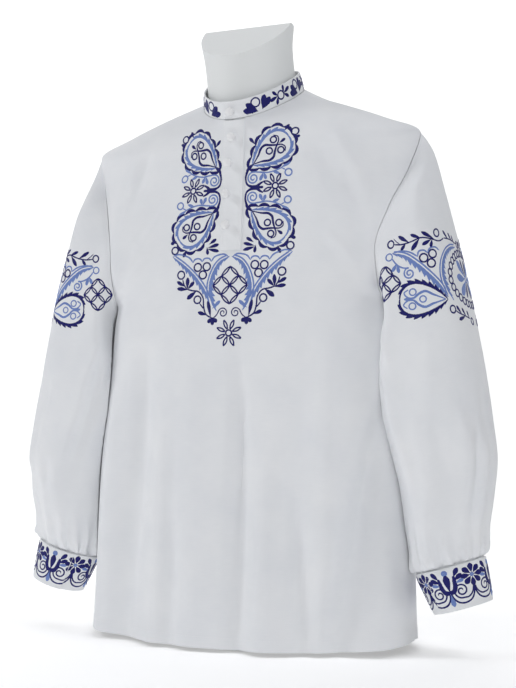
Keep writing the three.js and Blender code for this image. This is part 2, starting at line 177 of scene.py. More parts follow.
def ring_faces(rows, columns):
    """Quads of a grid that closes on itself sideways."""
    faces = []
    for low in range(0, (rows - 1) * columns, columns):
        for c in range(columns):
            beside = (c + 1) % columns
            faces.append((low + c, low + beside, low + columns + beside, low + columns + c))
    return faces


# The base and the slanted neck are closed by strips that run straight across.
top = (FORM_RINGS - 1) * FORM_SIDES
strips = []
for k in range(1, FORM_SIDES // 2):
    a, b, c, d = k, k + 1, FORM_SIDES - k - 1, FORM_SIDES - k
    strips.append((a, d, c, b) if b != c else (a, d, b))
    strips.append((top + a, top + b, top + c, top + d) if b != c else (top + a, top + b, top + d))
strips += [(0, FORM_SIDES - 1, 1), (top, top + 1, top + FORM_SIDES - 1)]
form = new_mesh("form", form_points(), ring_faces(FORM_RINGS, FORM_SIDES) + strips, form_paint)
soften(form, 1.5 * MM, 3, 35)
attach(form, "root")
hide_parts("dress_form")

# ---------------------------------------------------------------------------
# Front and back panels
# White cotton poplin, each cut in one piece and joined at the side and shoulder seams. The front
# has a slit at the throat, and both hang from the shoulders with the hem turned up and stitched.

# Cotton poplin: a tight plain weave that reads as a soft matt white, bluish in the shade. Its real
# threads are 0.3 mm apart, and are drawn 1 mm apart, so that they show as a faint grain.
THREAD_GAP = 1.0 * MM


def cotton_cloth(name, light, shade):
    """White cotton, its weave running along and across the piece's own cloth map."""
    material, tree, shader = new_material(name)
    cloth = add(tree, "ShaderNodeUVMap", {"uv_map": "cloth"}).outputs["UV"]
    place = add(tree, "ShaderNodeTexCoord").outputs["Object"]

    # Colour: broad soft patches, and slubs that run along the threads.
    soft_spots = {"Scale": 14, "Detail": 3, "Roughness": 0.55}
    patches = add(tree, "ShaderNodeTexNoise", soft_spots, {"Vector": place})
    drawn_out = add(tree, "ShaderNodeMapping", {"Scale": (60, 900, 1)}, {"Vector": cloth}).outputs["Vector"]
    slubs = add(tree, "ShaderNodeTexNoise", {"Scale": 1, "Detail": 2}, {"Vector": drawn_out})
    both = {0: slubs.outputs["Fac"], 2: patches.outputs["Fac"]}
    blend = add(tree, "ShaderNodeMath", {"operation": "MULTIPLY_ADD", 1: 0.3}, both)
    tint = add(tree, "ShaderNodeMapRange", {"From Min": 0.4, "From Max": 0.95}, {"Value": blend.outputs[0]})
    tones = {"data_type": "RGBA", 6: colour(shade), 7: colour(light)}
    mix = add(tree, "ShaderNodeMix", tones, {0: tint.outputs["Result"]})

    # Relief: the crossing threads, on cloth that is a little crumpled.
    threads = {"wave_type": "BANDS", "Scale": 0.314 / THREAD_GAP, "Distortion": 0.6, "Detail": 1}
    warp, weft = (
        add(tree, "ShaderNodeTexWave", {**threads, "bands_direction": way}, {"Vector": cloth}).outputs["Fac"]
        for way in ("X", "Y")
    )
    weave = add(tree, "ShaderNodeMath", {"operation": "MULTIPLY"}, {0: warp, 1: weft}).outputs[0]
    grain = add(tree, "ShaderNodeBump", {"Strength": 0.25, "Distance": 0.00012}, {"Height": weave})
    creases = {"Scale": 22, "Detail": 4, "Roughness": 0.55}
    crumple = add(tree, "ShaderNodeTexNoise", creases, {"Vector": place})
    relief = {"Height": crumple.outputs["Fac"], "Normal": grain.outputs["Normal"]}
    soft = add(tree, "ShaderNodeBump", {"Strength": 0.1, "Distance": 0.002}, relief)

    finish = {"Roughness": 0.82, "IOR": 1.45, "Sheen Weight": 0.1, "Sheen Roughness": 0.45}
    give(shader, finish, {"Base Color": mix.outputs[2], "Normal": soft.outputs["Normal"]})
    return material


poplin = cotton_cloth("cotton poplin", "#f2f3f4", "#e8eaed")

CLOTH = 1.2 * MM
SEAM = 0.3 * MM
NECK = {
    "halfWidth": 68.5 * MM, "frontY": -64 * MM, "sideY": 12 * MM, "backY": 90 * MM,
    "frontZ": 704 * MM, "sideZ": 748 * MM, "backZ": 776 * MM, "bow": 8 * MM,
}
BODY = table("frontY frontZ backY backZ edgeX edgeFrontY edgeBackY edgeZ frontBow backBow | sweep full", [
    [-115, 5, 110, 5, 235, -4, -4, 16, 0, 0, 90, 2.25],
    [-103, 116, 112, 116, 231, -1, -1, 122, 0, 0, 90, 2.3],
    [-92, 227, 114, 227, 225, 2, 2, 230, 0, 0, 90, 2.4],
    [-84, 339, 116, 339, 216, 6, 6, 338, 0, 0, 90, 2.5],
    [-78.5, 446, 117, 446, 206, 8, 8, 440, 0, 0, 90, 2.5],
    [-75.5, 496, 116, 496, 195, -34, 50, 474, 0, 0, 80, 2.4],
    [-72, 542, 114, 542, 194, -49, 72, 524, 0, 0, 72, 2.3],
    [-68.5, 588, 112, 590, 207, -31, 74, 580, 0, 0, 72, 2.25],
    [-66, 632, 108, 640, 227, -4, 50, 634, 0, 0, 78, 2.2],
    [-64, 662, 104, 686, 239, 9, 9, 681, 0, -6, 84, 2.15],
    [-63, 680, 100, 716, 190, 10, 10, 706, 2, -22, 87, 2.1],
    [-63, 693, 95, 748, 126, 11, 11, 730, 5, -14, 89, 2.05],
    [-64, 704, 90, 776, 68.5, 12, 12, 748, 8, 8, 90, 2],
])
UNDERARM_ROW, TIP_ROW, NECK_ROW = 4, 9, 12


def body_points(at, u, front):
    """Points of the body: at is the place in the table, u runs from -1 to 1 across."""
    row = row_at(BODY, at)
    side = "front" if front else "back"
    mid_y, mid_z, bow = row[side + "Y"], row[side + "Z"], row[side + "Bow"]
    on_armhole = (at > UNDERARM_ROW) & (at < TIP_ROW)
    edge_y = row["edgeFrontY"] if front else np.where(on_armhole, row["edgeBackY"], row["edgeFrontY"])
    sweep = np.radians(row["sweep"])
    power = 2 / row["full"]
    across = (np.sin(np.abs(u) * sweep) / np.sin(sweep)) ** power
    low = np.maximum(np.cos(sweep), 0) ** power
    inward = (np.maximum(np.cos(np.abs(u) * sweep), 0) ** power - low) / (1 - low)
    z = lerp(row["edgeZ"], mid_z, inward) + bow * inward * (1 - inward)
    return np.stack([np.sign(u) * row["edgeX"] * across, lerp(edge_y, mid_y, inward), z], -1)


def normals_of(points, wraps=False):
    """Unit normals of a grid of points, rows first."""
    down = np.gradient(points, axis=0)
    if wraps:
        sideways = np.roll(points, -1, 1) - np.roll(points, 1, 1)
    else:
        sideways = np.gradient(points, axis=1)
    normal = np.cross(sideways, down)
    return normal / np.maximum(np.linalg.norm(normal, axis=-1, keepdims=True), 1e-12)


def wall(name, points, material, thickness, wraps=False, skips=()):
    """A closed wall: the grid of outer points, the same moved inwards, and the rims between them.
    skips lists quads to leave out, by row and column, as at a slit."""
    rows, columns = points.shape[:2]
    across, up = cloth_map(points, wraps)
    places = np.arange(rows * across.shape[1]).reshape(rows, -1)
    corners = np.stack([places[:-1, :-1], places[:-1, 1:], places[1:, 1:], places[1:, :-1]], -1)
    kept = np.ones(corners.shape[:2], bool)
    for r, c in skips:
        kept[r, c] = False
    outside = corners[kept]
    rims = {}
    # On a wrapped grid the cloth map has one column more, whose points are the first column's.
    vertex = (places // across.shape[1] * columns + places % across.shape[1] % columns).ravel()
    for quad in outside.tolist():
        for a, b in zip(quad, quad[1:] + quad[:1]):
            if rims.pop((vertex[b], vertex[a]), None) is None:
                rims[(vertex[a], vertex[b])] = (b, a)
    layer = rows * columns
    turned = outside[:, ::-1]
    rim = np.array(list(rims.values()))
    faces = vertex[outside].tolist() + (vertex[turned] + layer).tolist()
    faces += [(b, a, a + layer, b + layer) for b, a in vertex[rim]]
    used = np.concatenate([outside.ravel(), turned.ravel(), rim[:, [0, 1, 1, 0]].ravel()])
    corner_uv = np.stack([across.ravel()[used], up.ravel()[used]], -1)
    inner = points - normals_of(points, wraps) * thickness
    piece = new_mesh(name, np.stack([points, inner]), faces, material, corner_uv)
    shape = bmesh.new()
    shape.from_mesh(piece.data)
    for unused in [v for v in shape.verts if not v.link_faces]:
        shape.verts.remove(unused)
    shape.to_mesh(piece.data)
    shape.free()
    return piece


def lengths_along(points, axis):
    """Running length of a grid's lines, measured from their middle."""
    steps = np.linalg.norm(np.diff(points, axis=axis), axis=-1)
    total = np.cumsum(np.insert(steps, 0, 0, axis=axis), axis=axis)
    return total - np.take(total, [total.shape[axis] // 2], axis=axis)


def cloth_map(points, wraps=False):
    """How far across and how far up the cloth each point lies."""
    if wraps:
        points = np.concatenate([points, points[:, :1]], 1)
    return lengths_along(points, 1), lengths_along(points, 0)


def ease(share):
    """Runs smoothly from 0 to 1."""
    share = np.clip(share, 0, 1)
    return share * share * (3 - 2 * share)


def folds(across, up, rows, around=None):
    """Lift of soft folds on a cloth: each runs from one place to another, bows aside, and fades out.
    A negative lift is a trough. around is the length after which across comes round again."""
    t = table("fromX fromZ toX toZ width lift bow", rows)
    total = np.zeros(np.broadcast(across, up).shape)
    for k in range(len(rows)):
        x0, z0, width, lift, bow = (t[n][k] for n in ("fromX", "fromZ", "width", "lift", "bow"))
        run_x, run_z = t["toX"][k] - x0, t["toZ"][k] - z0
        length = math.hypot(run_x, run_z)
        dx = across - x0
        if around:
            middle = run_x / 2
            dx = (dx - middle + around / 2) % around - around / 2 + middle
        along = (dx * run_x + (up - z0) * run_z) / length**2
        aside = (dx * run_z - (up - z0) * run_x) / length - bow * 4 * along * (1 - along)
        spread = width * (0.65 + 0.7 * np.clip(along, 0, 1))  # a fold widens along its run
        fade = ease(along / 0.35 + 0.1) * ease((1 - along) / 0.45 + 0.1)
        total += lift * np.exp(-((aside / spread) ** 2)) * fade
    return total


DRIFT_WAVES = 7


def drift(across, up, height, seed):
    """The slight unevenness that hanging cloth always has, longer up and down than across."""
    rng = np.random.default_rng(seed)
    total = np.zeros(np.broadcast(across, up).shape)
    for _ in range(DRIFT_WAVES):
        wave_x, wave_z = rng.uniform(60, 150) * MM, rng.uniform(160, 420) * MM
        lean, start = rng.uniform(-1, 1), rng.uniform(0, 2 * np.pi)
        total += np.sin(2 * np.pi * (across / wave_x + lean * up / wave_z) + start)
    return height * total / math.sqrt(DRIFT_WAVES)


SLIT_HALF, SLIT_DEPTH = 1 * MM, 168 * MM
HEM_DEPTH, HEM_PROUD = 16 * MM, 0.5 * MM  # the hem's double cloth stands this much proud
EDGE_SUNK = 0.5 * MM  # the side edges are drawn in by their seam
# Folds as folds() takes them: fromX fromZ toX toZ width lift bow. Those that end below z 0 run out
# through the hem.
FRONT_FOLDS = [
    [-122, 430, -158, -160, 24, -19, 4],
    [-180, 400, -204, -120, 15, 7, -4],
    [-86, 330, -100, -130, 15, 10, 3],
    [-54, 450, -26, -60, 28, 10, 3],
    [-68, 190, -76, -120, 16, -8, -3],
    [14, 430, 28, -150, 14, -13, -3],
    [58, 300, 64, -140, 19, 10, 3],
    [100, 220, 120, -120, 15, -9, -4],
    [134, 450, 152, -40, 25, 10, 4],
    [206, 350, 146, -140, 17, -17, 6],
    [212, 170, 204, -60, 12, 6, 0],
    [128, 700, 196, 590, 12, 5, 4],
    [100, 690, 186, 556, 13, -4, 6],
    [150, 640, 196, 520, 11, -4, 3],
    [120, 560, 196, 470, 11, 4, -5],
    [-122, 690, -186, 570, 12, -5.5, -4],
    [-150, 660, -192, 560, 10, 5.5, -4],
    [-110, 540, -192, 470, 13, 5, 5],
    [-104, 610, -196, 500, 11, -5, -5],
    [60, 470, 190, 420, 16, 4.5, 5],
    [-60, 440, -180, 400, 16, 4, -4],
]
BACK_FOLDS = [
    [-60, 560, -76, 60, 18, 3.4, 5],
    [-118, 520, -140, 10, 16, -3, -6],
    [-160, 440, -180, 0, 14, 3.2, 4],
    [-14, 500, -8, 20, 20, -2.4, -4],
    [44, 540, 60, 30, 17, 3, -5],
    [96, 500, 116, 0, 15, -2.8, 6],
    [146, 460, 168, 0, 16, 3.4, -4],
    [150, 690, 186, 540, 11, -2.2, 4],
    [-146, 690, -182, 550, 11, 2.4, -4],
    [110, 640, 184, 500, 12, 2, -6],
]


def panel_points(at, u, front):
    """Points of a panel with its folds, its drift and the double cloth of its hem."""
    points = body_points(at, u, front)
    normals = normals_of(points)
    x, z = points[..., 0], points[..., 2]
    lift = folds(x, z, FRONT_FOLDS if front else BACK_FOLDS)
    lower = ease((640 * MM - z) / (400 * MM))
    lift += drift(x, z, 1.0 * MM, 11 if front else 12) * (0.35 + 1.2 * lower)
    above_hem = z - body_points(0 * at, u, front)[..., 2]
    # Folds fade out towards the side edges and the neck, where the cloth is sewn.
    lift *= ease((1 - np.abs(u)) / 0.2)
    lift *= ease((NECK_ROW - at) / 3.5)
    lift += HEM_PROUD * ease((HEM_DEPTH - above_hem) / (2.5 * MM) + 0.5)
    lift -= EDGE_SUNK * (1 - ease((1 - np.abs(u)) / 0.02))
    return points + normals * lift[..., None]


def panel_rows(below, armhole, shoulder):
    """Places up a panel, with so many rows below the armhole, beside it and along the shoulder."""
    return np.concatenate([
        np.linspace(0, UNDERARM_ROW, below, endpoint=False),
        np.linspace(UNDERARM_ROW, TIP_ROW, armhole, endpoint=False),
        np.linspace(TIP_ROW, NECK_ROW, shoulder),
    ])[:, None]


def set_in(points):
    """Pulls a panel's side edges back by half a seam."""
    points = points.copy()
    for edge, beside in ((0, 1), (-1, -2)):
        inward = points[:, beside] - points[:, edge]
        points[:, edge] += inward * (SEAM / 2 / np.linalg.norm(inward, axis=-1, keepdims=True))
    return points


slit_share = SLIT_HALF / BODY["edgeX"][UNDERARM_ROW] * 0.9
half = np.linspace(slit_share, 1, 64)
front_at = panel_rows(118, 70, 22)
front_u = np.concatenate([-half[::-1], half])[None, :]
front_points = set_in(panel_points(front_at, front_u, True))
slit_end = NECK["frontZ"] - SLIT_DEPTH
slit = [(r, len(half) - 1) for r in range(len(front_at) - 1) if front_points[r, len(half), 2] > slit_end]
front = wall("front_panel", front_points, poplin, CLOTH, skips=slit)
back_at = panel_rows(90, 54, 18)
back_u = np.linspace(1, -1, 101)[None, :]
back_points = set_in(panel_points(back_at, back_u, False))
back = wall("back_panel", back_points, poplin, CLOTH)
for panel, node in ((front, "shirt_front"), (back, "shirt_back")):
    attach(panel, "root")
    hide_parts(node)

# ---------------------------------------------------------------------------
# Sleeves
# Each is one wide piece of the same poplin, sewn to itself under the arm, set flat into the
# armhole, and drawn up at the wrist in many small gathers.
SLEEVE = table("innerX innerZ outerX outerZ midY halfDepth | full", [
    [206, 440, 239, 681, 14, 64, 2],
    [205, 431, 255, 652, 20, 72, 2],
    [202, 419, 265, 612, 22, 77, 2.1],
    [197, 401, 276, 566, 23, 80, 2.2],
    [191, 377, 289, 512, 22, 81, 2.4],
    [187, 347, 303, 450, 20, 81, 2.5],
    [190, 306, 319, 376, 15, 79, 2.5],
    [200, 262, 331.5, 306, 10, 76, 2.3],
    [215, 214, 340, 248, 3, 72, 2.1],
    [221, 172, 337, 202, -1, 65, 2],
    [226, 138, 331, 164, -3, 54, 2],
    [236.5, 103.2, 328.5, 130.6, -8, 36.5, 2],
])
ARMHOLE_STEPS = 84  # from the shoulder tip to the underarm, and as many up the back
SLEEVE_LENGTH = 560 * MM
SLEEVE_ROUND = 440 * MM
BODY_CLEARANCE = 3 * MM
CAP_PROUD, PUFF = 1.5 * MM, 2 * MM
INSIDE_CUFF = 3.6 * MM  # the gathered end is drawn in by this, to pass inside the cuff
TUCK = np.array([1.3, -0.2, -3.8]) * MM  # and runs on down by this
# The same columns as for the panels. Places across a sleeve are measured from its outer line,
# forward first.
SLEEVE_FOLDS = {
    "left": [
        [34, 306, 50, 140, 9, -8, -7],
        [16, 300, 34, 150, 9, 6, -6],
        [66, 330, 70, 150, 12, 5, 3],
        [146, 540, 128, 330, 26, 7.5, 0],
        [128, 400, 92, 190, 15, -4.2, 6],
        [96, 420, 120, 120, 12, 4.5, -5],
        [60, 330, 50, 130, 12, 3.9, 3],
        [150, 400, 150, 150, 12, 5.1, 5],
        [10, 380, 24, 140, 14, -3.9, -4],
        [60, 640, 108, 500, 12, 2.7, 5],
        [172, 440, 120, 360, 9, 3.3, 8],
        [186, 400, 140, 300, 9, -3.3, 7],
        [-60, 460, -84, 150, 16, 4.8, 5],
        [-110, 430, -100, 130, 13, -4.5, -5],
        [-150, 420, -140, 180, 12, 4.5, 4],
        [-30, 520, -50, 300, 16, -2.7, 4],
    ],
    "right": [
        [52, 240, 66, 150, 10, -6, 4],
        [104, 250, 84, 170, 10, -6, -4],
        [80, 330, 76, 190, 14, 5, 0],
        [146, 540, 128, 330, 26, 6, 0],
        [120, 400, 104, 150, 14, 4.5, -6],
        [84, 400, 70, 120, 13, -4.2, 4],
        [44, 360, 56, 130, 12, 4.2, -3],
        [146, 430, 142, 180, 10, -3.9, 5],
        [6, 420, 14, 140, 14, 3.9, 4],
        [50, 630, 100, 500, 13, 2.4, 5],
        [168, 430, 118, 350, 9, 3.6, 8],
        [180, 390, 150, 300, 8, -3, 6],
        [-56, 480, -72, 140, 15, -4.2, -5],
        [-104, 440, -110, 150, 14, 4.8, 5],
        [-146, 400, -150, 170, 12, -4.2, -4],
    ],
}


def ring_points(row, turn, lift=0):
    """Points of sleeve rings on the +X side; turn 0 is outermost and runs forward."""
    power = 2 / row["full"]
    out = np.sign(np.cos(turn)) * np.abs(np.cos(turn)) ** power
    forward = np.sign(np.sin(turn)) * np.abs(np.sin(turn)) ** power
    half_x, half_z = (row["outerX"] - row["innerX"]) / 2, (row["outerZ"] - row["innerZ"]) / 2
    outward = 1 + out * (1 + lift / np.hypot(half_x, half_z))
    y = row["midY"] - (row["halfDepth"] + lift) * forward
    return np.stack([row["innerX"] + half_x * outward, y, row["innerZ"] + half_z * outward], -1)


def body_side(y, z):
    """The body's half width where a sleeve hangs against it, and nothing across an open armhole."""
    at = np.interp(z, BODY["edgeZ"], np.arange(len(BODY["edgeZ"])))
    row = row_at(BODY, at)
    back_edge = np.where(at > UNDERARM_ROW, row["edgeBackY"], row["edgeFrontY"])
    open_here = (y > row["edgeFrontY"]) & (y < back_edge)
    behind = y >= back_edge
    edge_y = np.where(behind, back_edge, row["edgeFrontY"])
    mid_y = np.where(behind, row["backY"], row["frontY"])
    power, sweep = 2 / row["full"], np.radians(row["sweep"])
    at_edge = np.maximum(np.cos(sweep), 0) ** power
    inward = np.clip((y - edge_y) / (mid_y - edge_y), 0, 1)
    cos_turn = np.clip(at_edge + inward * (1 - at_edge), 0, 1) ** (1 / power)
    half_width = row["edgeX"] * (np.sqrt(1 - cos_turn**2) / np.sin(sweep)) ** power
    return np.where(open_here | (z < BODY["edgeZ"][0]), 0, half_width)


# How many puckers, the least and most length and height in millimetres, and the width in radians.
PUCKERS = [(34, (16, 46), (4, 8), 0.06), (15, (70, 210), (6, 12), 0.12)]


def gathers(turn, above_cuff, seed):
    """Small puckers at the cuff seam, and the longer folds that rise from some of them."""
    rng = np.random.default_rng(seed)
    total = np.zeros(np.broadcast(turn, above_cuff).shape)
    for count, reach, lift, width in PUCKERS:
        for k in range(count):
            place = 2 * np.pi * (k + rng.uniform(-0.32, 0.32)) / count
            length = rng.uniform(*reach) * MM
            height = rng.uniform(*lift) * MM
            lean = rng.uniform(-0.1, 0.1)
            rise = above_cuff / length
            aside = (turn - place - lean * rise + np.pi) % (2 * np.pi) - np.pi
            spread = width * rng.uniform(0.8, 1.3)
            fade = ease(above_cuff / (6 * MM) + 0.25) * ease(1 - rise)
            total += height * fade * np.exp(-((aside / spread) ** 2))
    return total - total.mean(1, keepdims=True)


def sleeve_points(side, hand, seed):
    """Rings of a finished sleeve, from the armhole's own line to the end inside the cuff."""
    count = 2 * ARMHOLE_STEPS
    turn = (2 * np.pi * np.arange(count) / count)[None, :]
    down = np.linspace(TIP_ROW, UNDERARM_ROW, ARMHOLE_STEPS + 1)[:, None]
    edge = np.ones((1, 1))
    line = np.concatenate([body_points(down, edge, True), body_points(down[-2:0:-1], edge, False)])[:, 0]
    along = np.concatenate([np.linspace(0, 0.8, 96, endpoint=False), np.linspace(0.8, 1, 52)])[:, None]
    row = row_at(SLEEVE, along * (len(SLEEVE["full"]) - 1))
    above_cuff = (1 - along) * SLEEVE_LENGTH
    # The upper arm's section is squarer in front.
    row["full"] = row["full"] + 0.9 * ease(np.sin(turn)) * ease(along / 0.15) * ease((0.66 - along) / 0.25)
    plain = ring_points(row, turn)
    across = np.where(turn > np.pi, turn - 2 * np.pi, turn) / (2 * np.pi) * SLEEVE_ROUND
    lift = folds(across, plain[..., 2], SLEEVE_FOLDS[hand], around=SLEEVE_ROUND)
    lift += drift(across, plain[..., 2], 0.9 * MM, seed) * np.sin(turn / 2) ** 2
    lift *= ease(along / 0.12) * ease(above_cuff / (20 * MM))
    lift += gathers(turn, above_cuff, seed)
    # The cap stands out from its seam, and the cloth puffs out over the cuff.
    lift += CAP_PROUD * ease(along / 0.03) * ease((0.25 - along) / 0.2)
    lift += PUFF * ease(above_cuff / (14 * MM)) * ease((60 * MM - above_cuff) / (40 * MM))
    lift -= INSIDE_CUFF * ease(1 - above_cuff / (5 * MM))
    points = ring_points(row, turn, lift)
    # The top rings are drawn to the armhole's line, and no ring comes too near the body.
    first = {name: values[0] for name, values in SLEEVE.items()}
    points += (line - ring_points(first, turn)[0])[None] * ((1 - along) ** 8)[..., None]
    nearest = body_side(points[..., 1], points[..., 2]) + BODY_CLEARANCE * (0.6 + 0.4 * ease(along / 0.1))
    points[..., 0] = np.maximum(points[..., 0], nearest)
    points[0] = line
    toward = points[1] - points[0]
    points[0] += toward * (SEAM / 2 / np.linalg.norm(toward, axis=-1, keepdims=True))
    points = np.concatenate([points, points[-1:] + TUCK / 2, points[-1:] + TUCK])
    points *= (side, 1, 1)
    return points[:, ::-1] if side < 0 else points


sleeve_grids = {}
for hand, side, seed in (("right", -1, 21), ("left", 1, 22)):
    sleeve_grids[hand] = sleeve_points(side, hand, seed)
    sleeve = wall(f"{hand}_sleeve", sleeve_grids[hand], poplin, CLOTH, wraps=True)
    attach(sleeve, "root")
    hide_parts(f"sleeve_{hand}")

# ---------------------------------------------------------------------------
# Collar band
# A low stand of doubled poplin sewn round the neckline, edge-stitched, with its left end lapped
# over its right end at the throat.
BAND = 2 * MM  # the thickness of doubled cloth
COLLAR = {
    "topY": 3 * MM, "topHalfWidth": 64.5 * MM, "topHalfDepth": 75.5 * MM,
    "backRise": 23 * MM, "frontRise": 21.5 * MM,
}
LAP_FROM, LAP_TO, LAP_PROUD = -12.5 * MM, 15 * MM, BAND + 0.5 * MM
SET_ON = 0.15 * MM  # the gap between the band's foot and the neckline

# Doubled poplin: the panels' cloth, a shade whiter where two layers lie on each other.
band_cotton = cotton_cloth("doubled cotton poplin", "#f3f4f5", "#eaecee")


def collar_points(turn, up, proud):
    """Points of the band: turn 0 at the throat and running to the wearer's left, up 0 to 1."""
    inward, share = np.cos(turn), np.abs(np.cos(turn))
    at_front = inward > 0
    half_depth = np.where(at_front, NECK["sideY"] - NECK["frontY"], NECK["backY"] - NECK["sideY"])
    rise = np.where(at_front, NECK["frontZ"] - NECK["sideZ"], NECK["backZ"] - NECK["sideZ"])
    foot_z = NECK["sideZ"] + rise * share + NECK["bow"] * share * (1 - share)
    height = lerp(COLLAR["backRise"], COLLAR["frontRise"], (1 + inward) / 2)
    x = (lerp(NECK["halfWidth"], COLLAR["topHalfWidth"], up) + proud) * np.sin(turn)
    foot_y, top_y = NECK["sideY"] - half_depth * inward, COLLAR["topY"] - COLLAR["topHalfDepth"] * inward
    y = lerp(foot_y, top_y, up) - proud * inward
    return np.stack([x, y, lerp(foot_z + SET_ON, foot_z + height, up)], -1)


QUILTED = 0.35 * MM


def quilt(up, inset):
    """A doubled band is held flat along its two edge-stitched lines and stands a little between."""
    return QUILTED * (ease(up / inset - 0.6) * ease((1 - up) / inset - 0.6) - 1)


def band(name, grid):
    """A piece of doubled cloth with its rims rounded."""
    piece = wall(name, grid, band_cotton, BAND)
    soften(piece, 0.7 * MM, 2, 40)
    return piece


lap_turn = math.asin(LAP_FROM / NECK["halfWidth"])
under_turn = math.asin(LAP_TO / NECK["halfWidth"]) + 2 * math.pi
collar_turn = np.linspace(lap_turn, under_turn, 230)[None, :]
collar_up = np.linspace(0, 1, 15)[:, None]
collar_proud = LAP_PROUD * (1 - ease((collar_turn + lap_turn) / (-4 * lap_turn)))
collar_grid = collar_points(collar_turn, collar_up, collar_proud + quilt(collar_up, 0.16))
collar = band("collar", collar_grid)
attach(collar, "root")
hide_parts("collar_band")

# ---------------------------------------------------------------------------
# Placket
# A straight doubled strip laid over the slit and stitched down along its sides and across its
# foot, with the buttons in a line down it.
PLACKET_FROM, PLACKET_TO, PLACKET_INSET = -13 * MM, 17 * MM, 1.5 * MM
LYING = 0.4 * MM  # the strip, and each button, is set this far off the cloth under it
fine_at = np.linspace(0, NECK_ROW, 1200)
centre_z = body_points(fine_at, 0 * fine_at, True)[:, 2]


def front_points_at(x, z):
    """Points of the finished front panel at a grid of places, by width and by height."""
    at = np.interp(z, centre_z, fine_at)
    row = row_at(BODY, at)
    sweep = np.radians(row["sweep"])
    across = np.abs(x) / row["edgeX"] * np.sin(sweep) ** (2 / row["full"])
    u = np.sign(x) * np.arcsin(across ** (row["full"] / 2)) / sweep
    return panel_points(at, u, True)


placket_x = np.linspace(PLACKET_FROM, PLACKET_TO, 21)[None, :]
placket_z = np.linspace(slit_end - 8 * MM, NECK["frontZ"] - PLACKET_INSET, 100)[:, None]
placket_grid = front_points_at(placket_x, placket_z)
placket_lift = LYING + BAND + quilt((placket_x - PLACKET_FROM) / (PLACKET_TO - PLACKET_FROM), 0.12)
placket_grid = placket_grid + normals_of(placket_grid) * placket_lift[..., None]
placket = band("placket_strip", placket_grid)
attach(placket, "root")
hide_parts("placket")

# ---------------------------------------------------------------------------
# Cuffs
# Narrow doubled bands sewn over the gathered wrist, edge-stitched top and bottom, each lapped on
# itself on the inside of the wrist.
CUFF = table("innerX innerZ outerX outerZ midY halfDepth | full", [
    [263, 53, 339, 76, -11, 34, 2],
    [236.5, 103, 329, 130.5, -8, 37, 2],
])
CUFF_LAP, CUFF_LAP_AT = 0.42, 2.35  # the lap's reach and its place round the wrist, in radians
CUFF_DROP = 1 * MM


def cuff_row(up):
    """The ring of the cuff that lies so far up it, from 0 to 1."""
    return {name: lerp(values[0], values[1], up) for name, values in CUFF.items()}


def cuff_points(side):
    """Points of a cuff, from its top down and once round with the lap."""
    up = np.linspace(1, 0, 17)[:, None]
    share = np.linspace(0, 1, 210)[None, :]
    turn = CUFF_LAP_AT - CUFF_LAP / 2 - share * (2 * np.pi + CUFF_LAP)
    proud = LAP_PROUD * (1 - ease((share - 0.06) / 0.24)) + quilt(up, 0.1)
    points = ring_points(cuff_row(up), turn, proud) - (0, 0, CUFF_DROP)
    points *= (side, 1, 1)
    return points[:, ::-1] if side > 0 else points


cuff_grids = {}
for hand, side in (("right", -1), ("left", 1)):
    cuff_grids[hand] = cuff_points(side)
    cuff = band(f"{hand}_cuff", cuff_grids[hand])
    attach(cuff, "root")
    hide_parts(f"cuff_{hand}")

# ---------------------------------------------------------------------------
# Buttons
# Five small balls wound and knotted from white cotton cord, one on the collar and four down the
# placket, each sewn on by a short shank.
BALL_RADIUS, SHANK_RADIUS = 6 * MM, 2.2 * MM
BUTTONS = table("x z", [[1, 679], [-3.5, 644], [-5, 603], [-4, 561]])
COLLAR_BUTTON_X, COLLAR_BUTTON_UP = 1 * MM, 0.45
BALL_SIDES, BALL_RINGS = 40, 28
STRAND_PROUD = 0.45 * MM

# Cotton cord: a neutral white beside the cool white poplin, softly fuzzy and finely twisted.
cord_cotton, tree, shader = new_material("wound cotton cord")
place = add(tree, "ShaderNodeTexCoord").outputs["Object"]
twist = add(tree, "ShaderNodeTexNoise", {"Scale": 1500, "Detail": 2}, {"Vector": place})
bump = add(tree, "ShaderNodeBump", {"Strength": 0.5, "Distance": 0.0002}, {"Height": twist.outputs["Fac"]})
finish = {"Base Color": colour("#f2f2f2"), "Roughness": 0.78, "Sheen Weight": 0.25}
give(shader, finish, {"Normal": bump.outputs["Normal"]})


def ball_points(seat, normal):
    """A knotted ball with its shank: rings from the cloth up to the crown."""
    tall = np.linspace(0, 1, BALL_RINGS)[:, None]
    turn = np.linspace(0, 2 * np.pi, BALL_SIDES, endpoint=False)[None, :]
    polar = np.pi * (1 - tall)
    over_under = np.sin(3 * turn + 5 * polar) * np.sin(3 * turn - 5 * polar)
    strands = STRAND_PROUD * np.abs(over_under) * np.sin(polar)
    radius = (BALL_RADIUS - STRAND_PROUD + strands) * np.sin(polar)
    radius = np.where(tall < 0.3, np.maximum(radius, SHANK_RADIUS), radius)
    height = BALL_RADIUS * (1 + np.cos(polar)) + LYING
    up = np.array(normal)
    side = np.cross(up, (0, 0, 1))
    side /= np.linalg.norm(side)
    fore = np.cross(side, up)
    ring = np.cos(turn)[..., None] * side + np.sin(turn)[..., None] * fore
    return seat + ring * radius[..., None] + (height * np.ones_like(turn))[..., None] * up


